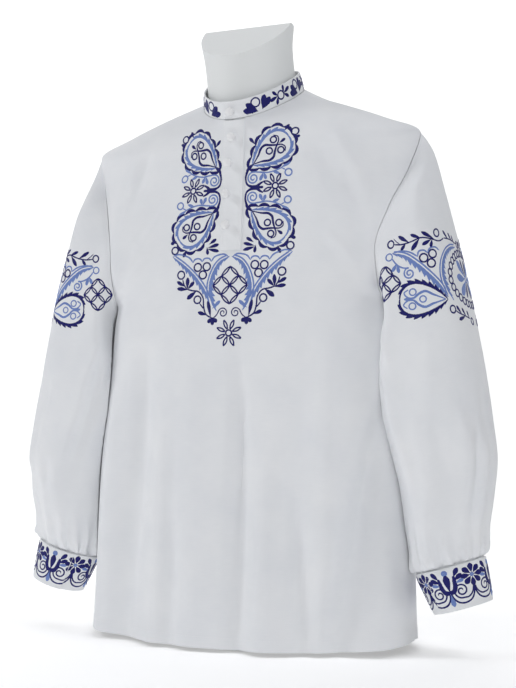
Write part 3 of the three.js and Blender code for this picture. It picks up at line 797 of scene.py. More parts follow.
throat = np.array([[math.asin(COLLAR_BUTTON_X / NECK["halfWidth"])]])
collar_seat = collar_points(throat, COLLAR_BUTTON_UP, LAP_PROUD)[0, 0]
beside_button = np.abs(collar_turn[0] - throat[0, 0]).argmin()
seats = [(collar_seat, normals_of(collar_grid)[len(collar_up) // 2, beside_button])]
for x, z in zip(BUTTONS["x"], BUTTONS["z"]):
    c, r = np.abs(placket_x[0] - x).argmin(), np.abs(placket_z[:, 0] - z).argmin()
    seat = placket_grid[r, c] + (x - placket_x[0, c], 0, z - placket_z[r, 0])
    seats.append((seat, normals_of(placket_grid)[r, c]))
foot, crown = range(BALL_SIDES), range((BALL_RINGS - 1) * BALL_SIDES, BALL_RINGS * BALL_SIDES)
ball_faces = ring_faces(BALL_RINGS, BALL_SIDES) + [tuple(foot)[::-1], tuple(crown)]
for k, (seat, normal) in enumerate(seats):
    button = new_mesh(f"button_ball_{k + 1}", ball_points(seat, normal), ball_faces, cord_cotton)
    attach(button, "root")
    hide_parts(f"button_{k + 1}")

# ---------------------------------------------------------------------------
# Topstitching
# Rows of white running stitches, 2.6 mm long, along the hem, the placket, both edges of the
# collar and cuffs, and beside the armholes. A thread sinks into the cloth at each end.
STITCH, STITCH_GAP, THREAD_RADIUS = 2.6 * MM, 0.9 * MM, 0.28 * MM

# Sewing cotton: smooth, slightly brighter than the cloth it sits on.
sewing_cotton, _, shader = new_material("sewing cotton")
give(shader, {"Base Color": colour("#f4f4f6"), "Roughness": 0.6, "Sheen Weight": 0.15})


def stitch_tree():
    """Geometry Nodes that set small spindles end to end along the lines of a mesh."""
    tree = bpy.data.node_groups.new("stitch row", "GeometryNodeTree")
    sockets = {}
    for label, kind, way in (
        ("Lines", "NodeSocketGeometry", "INPUT"),
        ("Spacing", "NodeSocketFloat", "INPUT"),
        ("Length", "NodeSocketFloat", "INPUT"),
        ("Radius", "NodeSocketFloat", "INPUT"),
        ("Thread", "NodeSocketMaterial", "INPUT"),
        ("Stitches", "NodeSocketGeometry", "OUTPUT"),
    ):
        sockets[label] = tree.interface.new_socket(label, in_out=way, socket_type=kind).identifier

    # Places at even steps along each line.
    given = add(tree, "NodeGroupInput").outputs
    lines = add(tree, "GeometryNodeMeshToCurve", links={"Mesh": given["Lines"]}).outputs["Curve"]
    stepped = {"Curve": lines, "Length": given["Spacing"]}
    places = add(tree, "GeometryNodeCurveToPoints", {"mode": "LENGTH"}, stepped).outputs

    # A ball drawn out into a spindle as long as a stitch, no two quite the same size.
    ball = add(tree, "GeometryNodeMeshUVSphere", {"Segments": 5, "Rings": 4, "Radius": 1})
    half_length = add(tree, "ShaderNodeMath", {"operation": "MULTIPLY", 1: 0.5}, {0: given["Length"]})
    sizes = {"X": given["Radius"], "Y": given["Radius"], "Z": half_length.outputs[0]}
    size = add(tree, "ShaderNodeCombineXYZ", links=sizes).outputs[0]
    uneven = add(tree, "FunctionNodeRandomValue", {"data_type": "FLOAT", 2: 0.86, 3: 1.08, "Seed": 5})
    sized = {0: size, "Scale": uneven.outputs[1]}
    scale = add(tree, "ShaderNodeVectorMath", {"operation": "SCALE"}, sized).outputs[0]

    # The spindles are set down, made real and given their thread.
    spots = {"Points": places["Points"], "Rotation": places["Rotation"]}
    spindles = {**spots, "Instance": ball.outputs["Mesh"], "Scale": scale}
    set_down = add(tree, "GeometryNodeInstanceOnPoints", links=spindles).outputs["Instances"]
    real = add(tree, "GeometryNodeRealizeInstances", links={0: set_down}).outputs[0]
    threaded = {"Geometry": real, "Material": given["Thread"]}
    painted = add(tree, "GeometryNodeSetMaterial", links=threaded).outputs["Geometry"]
    add(tree, "NodeGroupOutput", links={"Stitches": painted})
    return tree, sockets


stitches, stitch_sockets = stitch_tree()


def stitch_rows(name, lines):
    """A piece of stitches along each line of points."""
    points = np.concatenate(lines)
    starts = np.cumsum([0] + [len(line) for line in lines])
    edges = [(k, k + 1) for a, b in zip(starts, starts[1:]) for k in range(a, b - 1)]
    mesh = bpy.data.meshes.new(name)
    mesh.from_pydata(points.tolist(), edges, [])
    rows = bpy.data.objects.new(name, mesh)
    bpy.context.scene.collection.objects.link(rows)
    maker = rows.modifiers.new("stitches", "NODES")
    maker.node_group = stitches
    maker[stitch_sockets["Spacing"]] = STITCH + STITCH_GAP
    maker[stitch_sockets["Length"]] = STITCH
    maker[stitch_sockets["Radius"]] = THREAD_RADIUS
    maker[stitch_sockets["Thread"]] = sewing_cotton
    # The evaluated stitches are kept as a plain mesh, and the modifier goes.
    evaluated = rows.evaluated_get(bpy.context.evaluated_depsgraph_get())
    rows_mesh = bpy.data.meshes.new_from_object(evaluated)
    rows.modifiers.clear()
    rows.data = rows_mesh
    rows_mesh.shade_smooth()
    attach(rows, "root")
    return rows


def line_on(grid, row=None, column=None, wraps=False):
    """A line that lies on a grid's face, along a row or a column that may fall between two."""
    # A thread's middle stands just off the face.
    face = grid + normals_of(grid, wraps) * (0.3 * THREAD_RADIUS)
    if wraps:
        face = np.concatenate([face, face[:, :1]], 1)
    if row is None:
        face, row = face.transpose(1, 0, 2), column
    low = min(int(row), len(face) - 2)
    return lerp(face[low], face[low + 1], row - low)


def travelled(line):
    """How far along a line each of its points is."""
    step = np.diff(line, axis=0)
    length = np.abs(step) if line.ndim == 1 else np.linalg.norm(step, axis=1)
    return np.insert(np.cumsum(length), 0, 0)


def row_above(grid, height):
    """Which row of a grid lies this far above its first, by length of cloth up its middle."""
    length = travelled(grid[:, grid.shape[1] // 2])
    return float(np.interp(height, length, np.arange(len(grid))))


def box_on(grid, row_from, row_to, column_from, column_to):
    """The four sides of a rectangle stitched on a band."""
    up, across = (slice(round(a), round(b) + 1) for a, b in ((row_from, row_to), (column_from, column_to)))
    sides = [line_on(grid, column=column)[up] for column in (column_from, column_to)]
    return sides + [line_on(grid, row=row)[across] for row in (row_from, row_to)]


# Rows and columns count a grid's own steps. Each line runs a little inside an edge, and the placket
# has one more across it, above its foot.
hem_lines = [line_on(g, row=row_above(g, HEM_DEPTH - 1.5 * MM)) for g in (front_points, back_points)]
hem_stitching = stitch_rows("hem_stitching", hem_lines)
placket_lines = box_on(placket_grid, 1.8, len(placket_z) - 1.5, 1.6, 18.4)
placket_lines.append(line_on(placket_grid, row=13)[2:19])
placket_stitching = stitch_rows("placket_stitching", placket_lines)
collar_stitching = stitch_rows("collar_stitching", box_on(collar_grid, 1.4, 12.7, 1.2, 226))
cuff_stitching, armhole_stitching = {}, {}
for hand, grid in cuff_grids.items():
    cuff_stitching[hand] = stitch_rows(f"{hand}_cuff_stitching", box_on(grid, 0.8, 15.2, 2, 207))
for hand, grid in sleeve_grids.items():
    armhole_line = line_on(grid, row=2.2, wraps=True)
    armhole_stitching[hand] = stitch_rows(f"{hand}_armhole_stitching", [armhole_line])

# ---------------------------------------------------------------------------
# Embroidery stitches
# Satin and stem stitch in two blues of cotton floss, standing about half a millimetre off the cloth.
# A motif is drawn flat in millimetres, x to the right and y up, as a list of strokes, and is then
# laid on the cloth. A stroke is its left edge, its right edge and its tone.
NAVY, BLUE = "navy", "blue"
STRAND_GAP = 0.7 * MM


def floss(name, deep, pale):
    """Six-strand cotton floss: its strands lie side by side across each motif and catch the light."""
    material, tree, shader = new_material(name)
    strand = add(tree, "ShaderNodeUVMap", {"uv_map": "strands"}).outputs["UV"]
    skew = add(tree, "ShaderNodeMapping", {"Rotation": (0, 0, 0.35)}, {"Vector": strand}).outputs["Vector"]

    # Colour: streaks of a deeper and a paler dye along the strands.
    stretch = add(tree, "ShaderNodeMapping", {"Scale": (1500, 120, 1)}, {"Vector": skew}).outputs["Vector"]
    streaks = add(tree, "ShaderNodeTexNoise", {"Scale": 1, "Detail": 2}, {"Vector": stretch}).outputs["Fac"]
    tones = {"data_type": "RGBA", 6: colour(deep), 7: colour(pale)}
    mix = add(tree, "ShaderNodeMix", tones, {0: streaks})

    # Relief: one ridge for each strand.
    ridges = {"wave_type": "BANDS", "bands_direction": "X", "Scale": 0.314 / STRAND_GAP, "Distortion": 1.2}
    strands = add(tree, "ShaderNodeTexWave", ridges, {"Vector": skew}).outputs["Fac"]
    bump = add(tree, "ShaderNodeBump", {"Strength": 0.6, "Distance": 0.00025}, {"Height": strands})

    finish = {"Roughness": 0.5, "Specular IOR Level": 0.3, "Sheen Weight": 0.04, "Sheen Roughness": 0.35}
    give(shader, finish, {"Base Color": mix.outputs[2], "Normal": bump.outputs["Normal"]})
    return material


flosses = {
    NAVY: floss("navy cotton floss", "#040447", "#10127c"),
    BLUE: floss("mid blue cotton floss", "#5f7abd", "#8299d2"),
}


def flat(points):
    """Points as complex numbers, x + yj."""
    return np.array([complex(*p) if isinstance(p, tuple) else p for p in points])


def curve(points):
    """A smooth line through a few points, at even steps."""
    knots = flat(points)
    at = travelled(knots)
    slope = np.gradient(knots, at)
    fine = np.linspace(0, at[-1], 24 * len(knots))
    k = np.clip(np.searchsorted(at, fine, side="right") - 1, 0, len(at) - 2)
    gap = np.diff(at)[k]
    s = (fine - at[k]) / gap
    line = (1 + 2 * s) * (1 - s) ** 2 * knots[k] + s * (1 - s) ** 2 * gap * slope[k]
    line += s * s * (3 - 2 * s) * knots[k + 1] + s * s * (s - 1) * gap * slope[k + 1]
    return even(line)


def even(line, step=1.1):
    """The same line with its points at even steps."""
    along = travelled(line)
    count = max(4, math.ceil(along[-1] / step) + 1)
    return np.interp(np.linspace(0, along[-1], count), along, line)


def aside(line):
    """Unit steps to the left of a line."""
    way = np.gradient(line)
    return 1j * way / np.abs(way)


def raised(line, half, tone):
    """A stroke that reaches half its width to each side of a line."""
    return [(line + aside(line) * half, line - aside(line) * half, tone)]


def stroke(line, width=2.2, tone=NAVY):
    """Stem stitch along a line. Several widths run evenly from its start to its end."""
    share = np.linspace(0, 1, len(line))
    if np.ndim(width) == 0:
        half = width / 2 * np.minimum(1, 0.3 + 5 * len(line) / 24 * np.minimum(share, 1 - share))
    else:
        half = np.interp(share, np.linspace(0, 1, len(width)), width) / 2
    return raised(line, half, tone)


def stem(points, width=2.2, tone=NAVY):
    """Stem stitch along a smooth line through a few points."""
    return stroke(curve(points), width, tone)


def bud(base, tip, width=3.4, tone=NAVY):
    """A solid bud, narrow where it leaves the stem and round at its tip."""
    base, tip = flat([base, tip])
    share = (1 - np.cos(np.linspace(0, np.pi, 13))) / 2
    half = width / 2 * np.maximum(np.sin(np.pi * share**1.7), 0) ** 0.62
    half = np.maximum(half, 0.3 * (share < 0.5))
    return raised(base + (tip - base) * share, half, tone)


def buds(rows, tone=NAVY):
    """Several buds, each given as its base, its tip and its width."""
    return [each for base, tip, width in rows for each in bud(base, tip, width, tone)]


def leaf(base, tip, width=3.4, tone=NAVY):
    """A solid leaf, pointed at both ends."""
    base, tip = flat([base, tip])
    share = np.linspace(0, 1, 12)
    half = width / 2 * np.sin(np.pi * share) ** 0.9
    return raised(base + (tip - base) * share, half, tone)


PETAL_LINE = 2.1


def lens(base, tip, width=6):
    """An outlined petal."""
    base, tip = flat([base, tip])
    share = np.linspace(0, 1, max(9, math.ceil(abs(tip - base) / 1.2)))
    across = 1j * (tip - base) / abs(tip - base) * (width - PETAL_LINE) / 2
    strokes = []
    for way in (1, -1):
        line = base + (tip - base) * share + way * across * np.sin(np.pi * share)
        strokes += raised(line, PETAL_LINE / 2, NAVY)
    return strokes


def ring(centre, radius=4.8, line_width=2.3, tone=NAVY):
    """A ring, its radius measured to the middle of its line."""
    turn = np.exp(1j * np.linspace(0, 2 * np.pi, max(17, math.ceil(5.6 * radius))))
    (centre,) = flat([centre])
    half = line_width / 2
    return [(centre + (radius - half) * turn, centre + (radius + half) * turn, tone)]


def scroll(tail, centre, radius, start, turns, width=1.7, tone=NAVY):
    """A stem that runs into a spiral. A negative number of turns winds clockwise."""
    wound = np.linspace(0, 1, max(8, math.ceil(abs(turns) * 9)))
    turn = np.exp(1j * (math.radians(start) + turns * 2 * np.pi * wound))
    spiral = complex(*centre) + radius * (1 - 0.84 * wound) * turn
    return stem([*tail, *spiral], width, tone)


SCALLOP_RISE, SCALLOP_THICK, SCALLOP_THIN = 2.6, 5.2, 1.6


def scallops(line, count):
    """A scalloped outline: crescents along a line, bowed to its right and thick in the middle."""
    fine = even(line, 0.2)
    ends = np.linspace(0, len(fine) - 1, count + 1).round().astype(int)
    strokes = []
    for a, b in zip(ends, ends[1:]):
        part = even(fine[a : b + 1], 1.0)
        bow = np.sin(np.pi * np.linspace(0, 1, len(part)))
        part = part - aside(part) * SCALLOP_RISE * bow
        half = (SCALLOP_THIN + (SCALLOP_THICK - SCALLOP_THIN) * bow) / 2
        strokes += raised(part, half, NAVY)
    return strokes


def feather(line, width=6, tooth=6.5, side=1, tone=BLUE):
    """A band that is smooth on one side of a line and toothed on the other: side 1 is its right."""
    line = even(line, 0.62)
    along = np.abs(np.diff(line)).sum() * np.linspace(0, 1, len(line))
    share = along / along[-1]
    body = width * np.minimum(1, (share / 0.3) ** 0.6) * np.minimum(1, ((1 - share) / 0.22) ** 0.7)
    point = (along / tooth) % 1
    reach = body * (0.48 + 0.52 * point)
    way = aside(line)
    smooth, toothed = line + way * side * 0.5, line - way * side * reach + way / 1j * point * 1.6
    return [(smooth, toothed, tone) if side > 0 else (toothed, smooth, tone)]


def drop(length, half, tip=0.0):
    """One side of a teardrop that lies along x, from its tip round to its far end: y is positive."""
    turn = np.linspace(0, np.pi, 60)
    breadth = np.sin(turn) * np.sin(turn / 2) ** 1.15
    return tip + length * (1 - np.cos(turn)) / 2 + 1j * half * breadth / breadth.max()


def mirrored(strokes):
    """The same motif seen in a mirror that stands on x = 0."""
    return [(-left.conj(), -right.conj(), tone) for left, right, tone in strokes]


def upended(strokes):
    """The same motif seen in a mirror that lies on y = 0."""
    return [(left.conj(), right.conj(), tone) for left, right, tone in strokes]


def turned(degrees):
    """A unit step in a direction, counted anticlockwise from x."""
    return np.exp(1j * math.radians(degrees))


def moved(strokes, origin, way=1.0):
    """The motif carried to an origin, its x axis turned along a way."""
    origin, way = flat([origin, way])
    return [(origin + left * way, origin + right * way, tone) for left, right, tone in strokes]


def paisley():
    """Navy scalloped teardrop, a blue feathered band inside it and an ogee with three rings."""
    half = scallops(drop(73, 26)[::-1], 6)
    half += feather(drop(61, 18.5, 6.5), 6.6, 8.4, side=-1)
    ogee = [(9, 0), (21, 5), (31, 10.6), (36.5, 10.2), (41, 6.4)]
    ogee += [(45.5, 2.6), (50, -0.4), (54.5, -3.6), (56.5, -9), (53, -13.8)]
    half += stem(ogee, [1.4, 2.0, 3.4, 3.6, 3.3, 2.3, 1.8, 1.4])
    half += ring((49.5, 8.9), 4.2)
    middle = ring((36.5, 0), 4.2) + bud((53, 0), (63, 0), 4.6) + leaf((-4, 0), (10, 0), 5)
    return half + upended(half) + middle


def star(centre, radius=17.5):
    """A small open flower with eight outlined petals."""
    strokes = ring((0, 0), 4)
    for k in range(8):
        way = turned(22.5 + k * 45)
        strokes += lens(5.4 * way, radius * way)
    return moved(strokes, centre)


def trellis(centre, half):
    """Twelve outlined petals on the sides of four squares that stand on their corners."""
    strokes = []
    corner = complex(half / 2, half / 2)
    for a in (-1, 0, 1):
        for b in (-1, 0):
            for way in (1, 1j):
                start, end = complex(a, b) * way, complex(a, b + 1) * way
                strokes += lens(start * corner, end * corner, 5.8)
    return moved(strokes, centre)


# Across a stitch: the share of its width, and its height there as a share of its full height. Both
# edges dip under the face of the cloth by that share of SUNK.
ROUND_OVER = ((0, -0.3), (0.14, 0.6), (0.5, 1), (0.86, 0.6), (1, -0.3))
SUNK = 0.5


def lay(name, strokes, cloth, place, lift=0.5):
    """Lays motifs on cloth as raised stitches, a piece for each colour. place turns points of the
    drawing into where a needle starts and the way it goes to the cloth."""
    corners, quads = cloth.data.vertices, cloth.data.polygons
    tree = BVHTree.FromPolygons([corner.co for corner in corners], [quad.vertices for quad in quads])
    rng = np.random.default_rng(7)
    pieces = []
    for tone in sorted({s[2] for s in strokes}):
        points, faces, corner_uv = [], [], []
        for left, right, _ in (s for s in strokes if s[2] == tone):
            middle = (left + right) / 2
            if np.sum(np.imag(np.conj(np.diff(middle)) * (left - right)[:-1])) < 0:
                left, right = right, left
            # The width wavers along each stroke, and its strands start at a place of their own.
            spread = (left - right) * rng.uniform(-0.03, 0.05, len(left))
            left, right = left + spread, right - spread
            along = travelled(middle) + rng.uniform(0, 50)
            width = np.abs(left - right)
            height = lift * np.minimum(1, 0.4 + width / 3)  # a thin stitch is flatter
            first = sum(len(p) for p in points)
            drawn = np.stack([left + (right - left) * share for share, _ in ROUND_OVER], 1)
            high = np.stack([(height if rise > 0 else SUNK + 0 * width) * rise for _, rise in ROUND_OVER], 1)
            across = np.stack([width * (share - 0.5) for share, _ in ROUND_OVER], 1)
            origins, ways = place(drawn.ravel())
            sewn = []
            for origin, way, rise in zip(origins.tolist(), ways.tolist(), high.ravel().tolist()):
                spot, normal, _, _ = tree.ray_cast(origin, way)
                normal = normal if normal.dot(Vector(way)) < 0 else -normal
                sewn.append(spot + normal * (rise * MM))
            points.append(np.array(sewn))
            for r in range(len(left) - 1):
                for c in range(4):
                    a, b = r * 5 + c, (r + 1) * 5 + c
                    faces.append((first + a, first + a + 1, first + b + 1, first + b))
                    corner_uv += [(along[r], across[r, c]), (along[r], across[r, c + 1])]
                    corner_uv += [(along[r + 1], across[r + 1, c + 1]), (along[r + 1], across[r + 1, c])]
        corner_uv = np.array(corner_uv) * MM
        piece = new_mesh(f"{name}_{tone}", np.concatenate(points), faces, flosses[tone], corner_uv, "strands")
        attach(piece, "root")
        pieces.append(piece)
    return pieces


# ---------------------------------------------------------------------------
# Front embroidery
# Two columns of paisleys, scrolls and flowers beside the placket, and a pointed panel of
# feathered leaves, trellis, sprigs and a flower below it.
COLUMN_INNER, COLUMN_TOP = 18, 689

outer_half = paisley()
column = moved(outer_half, (4, -53), (0.8, 0.6))
column += buds([
    ((52.4, -4.6), (57.6, 4.4), 4.8), ((65, -14.6), (74, -12.4), 4.8), ((13, -21), (4.4, -11.6), 4.8),
])
column += ring((66.5, -6), 4.9)
bracket = [(3.5, -54), (0.6, -66), (3, -74), (10, -77.4), (17, -77.2), (22, -73.5), (26, -71.6)]
inner_half = stem(bracket, [4.4, 2.9, 2.7, 3.1, 4.8, 4.2, 2])
inner_half += scroll([(30, -59.6), (18, -58.4)], (11.4, -66.2), 8.6, 75, 1.8, 2.2, tone=BLUE)
inner_half += stem([(18, -58.4), (30, -59.8), (43.7, -57), (54, -52.4)], 2, BLUE)
inner_half += bud((49, -54.6), (62.5, -46.8), 4.6, BLUE)
inner_half += ring((60, -60.6), 4.6, 2.1, BLUE) + stem([(50, -54.6), (54, -56), (56.6, -58)], 1.8, BLUE)
inner_half += buds([((26, -59), (21, -70), 5), ((26.4, -59), (29.6, -68.5), 5)], BLUE)
inner_half += leaf((38.5, -58.2), (49, -62), 4.4, BLUE)
MIDDLE = -78.8
column += inner_half + moved(upended(moved(inner_half, (0, -MIDDLE))), (0, MIDDLE))
column += stem([(14, MIDDLE), (20, MIDDLE), (26, MIDDLE)], [3, 4, 3])
column += star((42.5, MIDDLE + 1))
column += moved(upended(outer_half), (4, -104.6), (0.8, -0.6))
column += buds([
    ((17, -157.6), (-0.4, -161.6), 5.4), ((16.4, -156.4), (0, -152), 5.2), ((17.6, -155.4), (16, -165.6), 5),
    ((14.6, -151.6), (4, -144.8), 5), ((63.6, -145), (72.6, -148.6), 5.4), ((48, -158), (52.6, -167.4), 5.8),
])
column += ring((65.6, -158), 4.9)
column = moved(column, (COLUMN_INNER, COLUMN_TOP))

# One half of the pointed panel: two feathered leaves under a rim of arcs, with rings between them
# and sprigs beside them.
outer_leaf = curve([(87, 523), (66.6, 509), (48.8, 492), (34.5, 471), (31, 461)])
inner_leaf = curve([(1.5, 520), (15.5, 514), (27.4, 496), (31, 480), (27.4, 461), (23.8, 454), (19, 448)])
panel = feather(outer_leaf, 7.2, 8, side=-1) + feather(inner_leaf, 8.6, 8.4, side=1)
panel += stroke(even(outer_leaf - aside(outer_leaf) * 2.9)[2:-3], 2.3, BLUE)
panel += stroke(even(inner_leaf + aside(inner_leaf) * 2.9)[2:-14], 2.3, BLUE)
rim = flat([(3, 519.5), (28.5, 514), (42, 514), (55.5, 513.5), (86, 523.5)])
for a, b, rise in zip(rim, rim[1:], (6, 5, 5, 5.5)):
    top = (a + b) / 2 + 1j * (b - a) / abs(b - a) * rise
    shoulder = (top - (a + b) / 2) * 0.4
    panel += stem([a, (a * 3 + top * 2) / 5 + shoulder, top, (b * 3 + top * 2) / 5 + shoulder, b], 2.3, BLUE)
for centre in ((35, 507.5), (48.2, 507), (40.5, 496.6)):
    panel += ring(centre, 5.3)
panel += bud((25, 451), (13.5, 461), 5.4, BLUE)
panel += scroll([(24.4, 437.8), (19.8, 440.6), (16.8, 444.4)], (9, 444.8), 6.9, 25, 1.6)
panel += stem([(24.4, 437.8), (34.5, 443.6), (38, 454), (39.5, 466), (46, 474), (56, 476), (64, 478)])
panel += buds([((24.4, 439), tip, 6.2) for tip in ((17.5, 432.5), (24.4, 428.6), (31.4, 432))])
panel += ring((47.6, 463.4), 5) + stem([(44.6, 459), (40.6, 454), (37.4, 450.6)], 2)
panel += ring((73, 497.5), 5.3) + stem([(70.6, 492), (68.6, 485), (64, 478)], 2)
panel += buds([
    ((27, 438.6), (32, 462), 6), ((49, 475.4), (63.4, 464.6), 6.8), ((61.4, 477.5), (79, 479.4), 6),
    ((63.4, 477), (62.6, 494), 6), ((63, 477.6), (53, 488), 5.4), ((66, 481.4), (79.4, 489), 5.4),
    ((33, 442.2), (46.4, 446.6), 5.6),
])
front_strokes = column + panel
front_strokes += mirrored(front_strokes) + trellis((0, 481.4), 25) + star((0, 417.8), 18.5)
PATTERN_AXIS = 2  # the drawing is centred this far to the shirt's left
# The column on the wearer's right leans in towards the placket, by this share of its distance, from
# a height of 590 mm and in full 70 mm above it.
LEAN, LEAN_FROM, LEAN_OVER = 0.13, 590, 70


def onto_front(points):
    """Needles from in front of the panel, straight back."""
    leaning = LEAN * ease((points.imag - LEAN_FROM) / LEAN_OVER) * (points.real < 0)
    x = points.real * (1 - leaning) + PATTERN_AXIS
    start = np.stack([x, np.full(len(points), -300.0), points.imag], -1) * MM
    return start, np.tile([0.0, 1.0, 0.0], (len(points), 1))


front_embroidery = lay("front_embroidery", front_strokes, front, onto_front)

# ---------------------------------------------------------------------------
# Collar embroidery
# A running row of hearts, rings and three-leaved sprigs in navy, from the same drawing on both sides
# of the throat. The half on the wearer's right is laid about 15 % longer, to just past the nape, and
# the other ends short of it.


def heart(point, way):
    """Two round lobes that meet in a point."""
    strokes = bud((0, 0), (19, 5), 9.6) + bud((0, 0), (19, -5), 9.6)
    return moved(strokes, point, turned(way))


def sprig(point, way):
    """Three leaves that spring from one point."""
    strokes = bud((0, 0), (15, 0), 5.8) + bud((0, 0), (6.4, 9.6), 5.4) + bud((0, 0), (6.4, -9.6), 5.4)
    return moved(strokes, point, turned(way))


# In the drawing's millimetres: where the row ends, the radius by which the half on the wearer's right
# is laid, and the height that covers the band.
ROW_END, RIGHT_RADIUS, COLLAR_DRAWN = 224, 66, 24
collar_half = []
for start in (0, 78, 156):
    collar_half += heart((start + 35.5, 3), 150)
    collar_half += ring((start + 34.6, 15.6), 6, 2.3)
    collar_half += heart((start + 42, 4), 52)
    collar_half += sprig((start + 70.5, 12.5), 190)
    collar_half += ring((start + 76, 12), 5.6, 2.3)
    collar_half += sprig((start + 81.4, 12.5), 20)
# Strokes that would run past the end are left out.
collar_half = [s for s in collar_half if s[0].real.max() < ROW_END]
collar_along = travelled(collar_points(collar_turn, 0.5, 0)[0]) / MM
collar_along -= np.interp(0, collar_turn[0], collar_along)


def onto_collar(points):
    """Needles from outside the band, straight in."""
    turn = np.interp(points.real, collar_along, collar_turn[0])
    turn = np.where(points.real < collar_along[0], points.real / RIGHT_RADIUS, turn)
    aim = collar_points(turn, np.clip(points.imag / COLLAR_DRAWN, 0.03, 0.97), 0)
    way = np.stack([-np.sin(turn), np.cos(turn), 0 * turn], -1)
    return aim - way * 12 * MM, way


collar_embroidery = lay("collar_embroidery", collar_half + mirrored(collar_half), collar, onto_collar, 0.4)

# ---------------------------------------------------------------------------
# Sleeve embroidery
# Round each upper arm runs a band that is the same before and behind a large flower: a ring of
# beads about it, feathered leaves, a serrated teardrop, a trellis and sprigs above and below.
BAND_Z, AXIS_TURN = 482, -3  # the flower sits a little behind the outermost line of the sleeve

arm = ring((150, 46))
arm += stem([(145.5, 45.4), (132, 45), (119, 48), (106, 53), (93, 52), (80, 50), (66, 55)], 2)
arm += ring((83, 60.5), 5) + stem([(66, 55), (52, 55), (38, 54), (26, 52), (17, 50.6)], 2)
arm += ring((12.4, 50), 4.4)
arm += buds([
    ((121, 46.4), (138.4, 56), 5.6), ((106, 52), (120.6, 57), 5), ((88, 52), (106.6, 60.6), 5.6),
    ((52, 54), (67, 65), 5), ((37, 52.6), (49, 63), 4.6), ((29, 50.6), (35, 61), 4.4),
    ((126.4, 46.4), (133.4, 37), 5), ((108, 52.6), (118.6, 36.4), 5.8), ((92, 51.6), (104.8, 43.4), 5.2),
    ((91, 52), (93.2, 40.4), 5),
])
arm += stem([(135, 45.4), (141, 49), (146, 53)], 1.3)
low_leaf = curve([(147, 34), (127, 30.5), (111, 20.5), (94, 6), (80, -8), (70, -22)])
high_leaf = curve([(27, 46), (50, 44), (66, 37), (75, 25), (77.5, 8), (70, -14), (60, -26)])
arm += feather(low_leaf, 8.2, 8.2, side=-1) + feather(high_leaf, 7.8, 8.2, side=1)
arm += stroke(even(low_leaf - aside(low_leaf) * 3)[2:-8], 2.3, BLUE)
arm += stroke(even(high_leaf + aside(high_leaf) * 3)[3:-10], 2.3, BLUE)
arm += stem([(146, 34.6), (133, 36.6), (121, 34.6), (110, 28.6)], 2.3, BLUE)
arm += stem([(110.6, 28.6), (109, 35.4), (102, 36.6), (97.4, 33)], 2.3, BLUE)
arm += stem([(97.6, 33), (95, 39), (87, 41.4), (80, 37.4)], 2.3, BLUE)
for centre in ((102.5, 27), (90.6, 32.6), (92.4, 20.4)):
    arm += ring(centre, 5.3)
arm += ring((151, 29.4), 4.6, 1.9, BLUE)
arm += scroll([(147, 28), (139, 19.6), (130, 15), (122, 14.4)], (121, 7.6), 7.6, 70, -1.7, 2.2, tone=BLUE)
arm += buds([((139, 21), (144.6, 10.4), 5.6), ((139, 21), (134.8, 8.6), 5.6)], BLUE)
arm += trellis((154.5, -5), 22.5)
tear = feather(drop(62, 19.5), 7.4, 8, side=-1, tone=NAVY)
tear_line = [(4, 0), (20, 5.6), (31, 10), (38, 7), (45, 1.4), (52, 2), (57, 8), (52, 12)]
tear += stem(tear_line, [1.5, 2, 3.2, 3.4, 3.4, 2.4, 2, 1.6], BLUE) + ring((46, 9), 4.2, 1.9, BLUE)
tear += upended(tear) + ring((33, 0), 4, 1.9, BLUE) + bud((46, 0), (57, 0), 4.2, BLUE)
arm += moved(tear, (70, -25.5))
arm = moved(arm, (-6, 0))
around = np.linspace(-1.47, 1.47, 200).tolist()
for bead in even(np.array([complex(55 * math.cos(t), 5 + 34 * math.sin(t)) for t in around]), 10.2):
    arm += ring(bead, 4.7)
arm += ring((57, -38)) + stem([(52.6, -39.4), (46, -42), (32, -45), (18, -48)], 2) + ring((12, -51), 4.2)
arm += buds([
    ((40, -43.4), (50, -33), 4.8), ((30, -45.4), (38, -35), 4.4), ((21, -47.4), (25, -38), 4),
    ((32, -45.6), (47, -51), 5.4),
])
arm += buds([(5 * turned(way) + 5j, 36 * turned(way) + 5j, 12.5) for way in (0, 38, 322)], BLUE)
flower = ring((0, 5), 4.2, 1.9, BLUE)
flower += buds([(5 * turned(way) + 5j, 27 * turned(way) + 5j, 7) for way in (68, 112, 248, 292)])
arm_strokes = arm + mirrored(arm) + flower


def round_sleeve(grid, side):
    """Where the band's drawing lands on one sleeve: arc length round it, and height."""
    level = BAND_Z * MM
    ring_at = [np.interp(-level, -line[:, 2], np.arange(len(line))) for line in grid.transpose(1, 0, 2)]
    low = np.minimum(np.array(ring_at).astype(int), len(grid) - 2)
    share = np.array(ring_at) - low
    index = np.arange(grid.shape[1])
    section = lerp(grid[low, index], grid[low + 1, index], share[:, None])
    section = section[np.abs(section[:, 2] - level) < 1e-6]
    centre = (section.min(0) + section.max(0)) / 2
    turn = np.arctan2(centre[1] - section[:, 1], side * (section[:, 0] - centre[0]))
    order = np.argsort(turn)
    turn, section = turn[order], section[order]
    arc = travelled(section) / MM
    arc -= np.interp(math.radians(AXIS_TURN), turn, arc)

    def place(points):
        at = np.interp(points.real, arc, turn)
        way = np.stack([-side * np.cos(at), np.sin(at), 0 * at], -1)
        aim = np.stack([centre[0] + 0 * at, centre[1] + 0 * at, level + points.imag * MM], -1)
        return aim - way * 300 * MM, way

    return place


for hand, side in (("right", -1), ("left", 1)):
    cloth = bpy.data.objects[f"{hand}_sleeve"]
    place = round_sleeve(sleeve_grids[hand], side)
    lay(f"{hand}_sleeve_embroidery", arm_strokes, cloth, place)

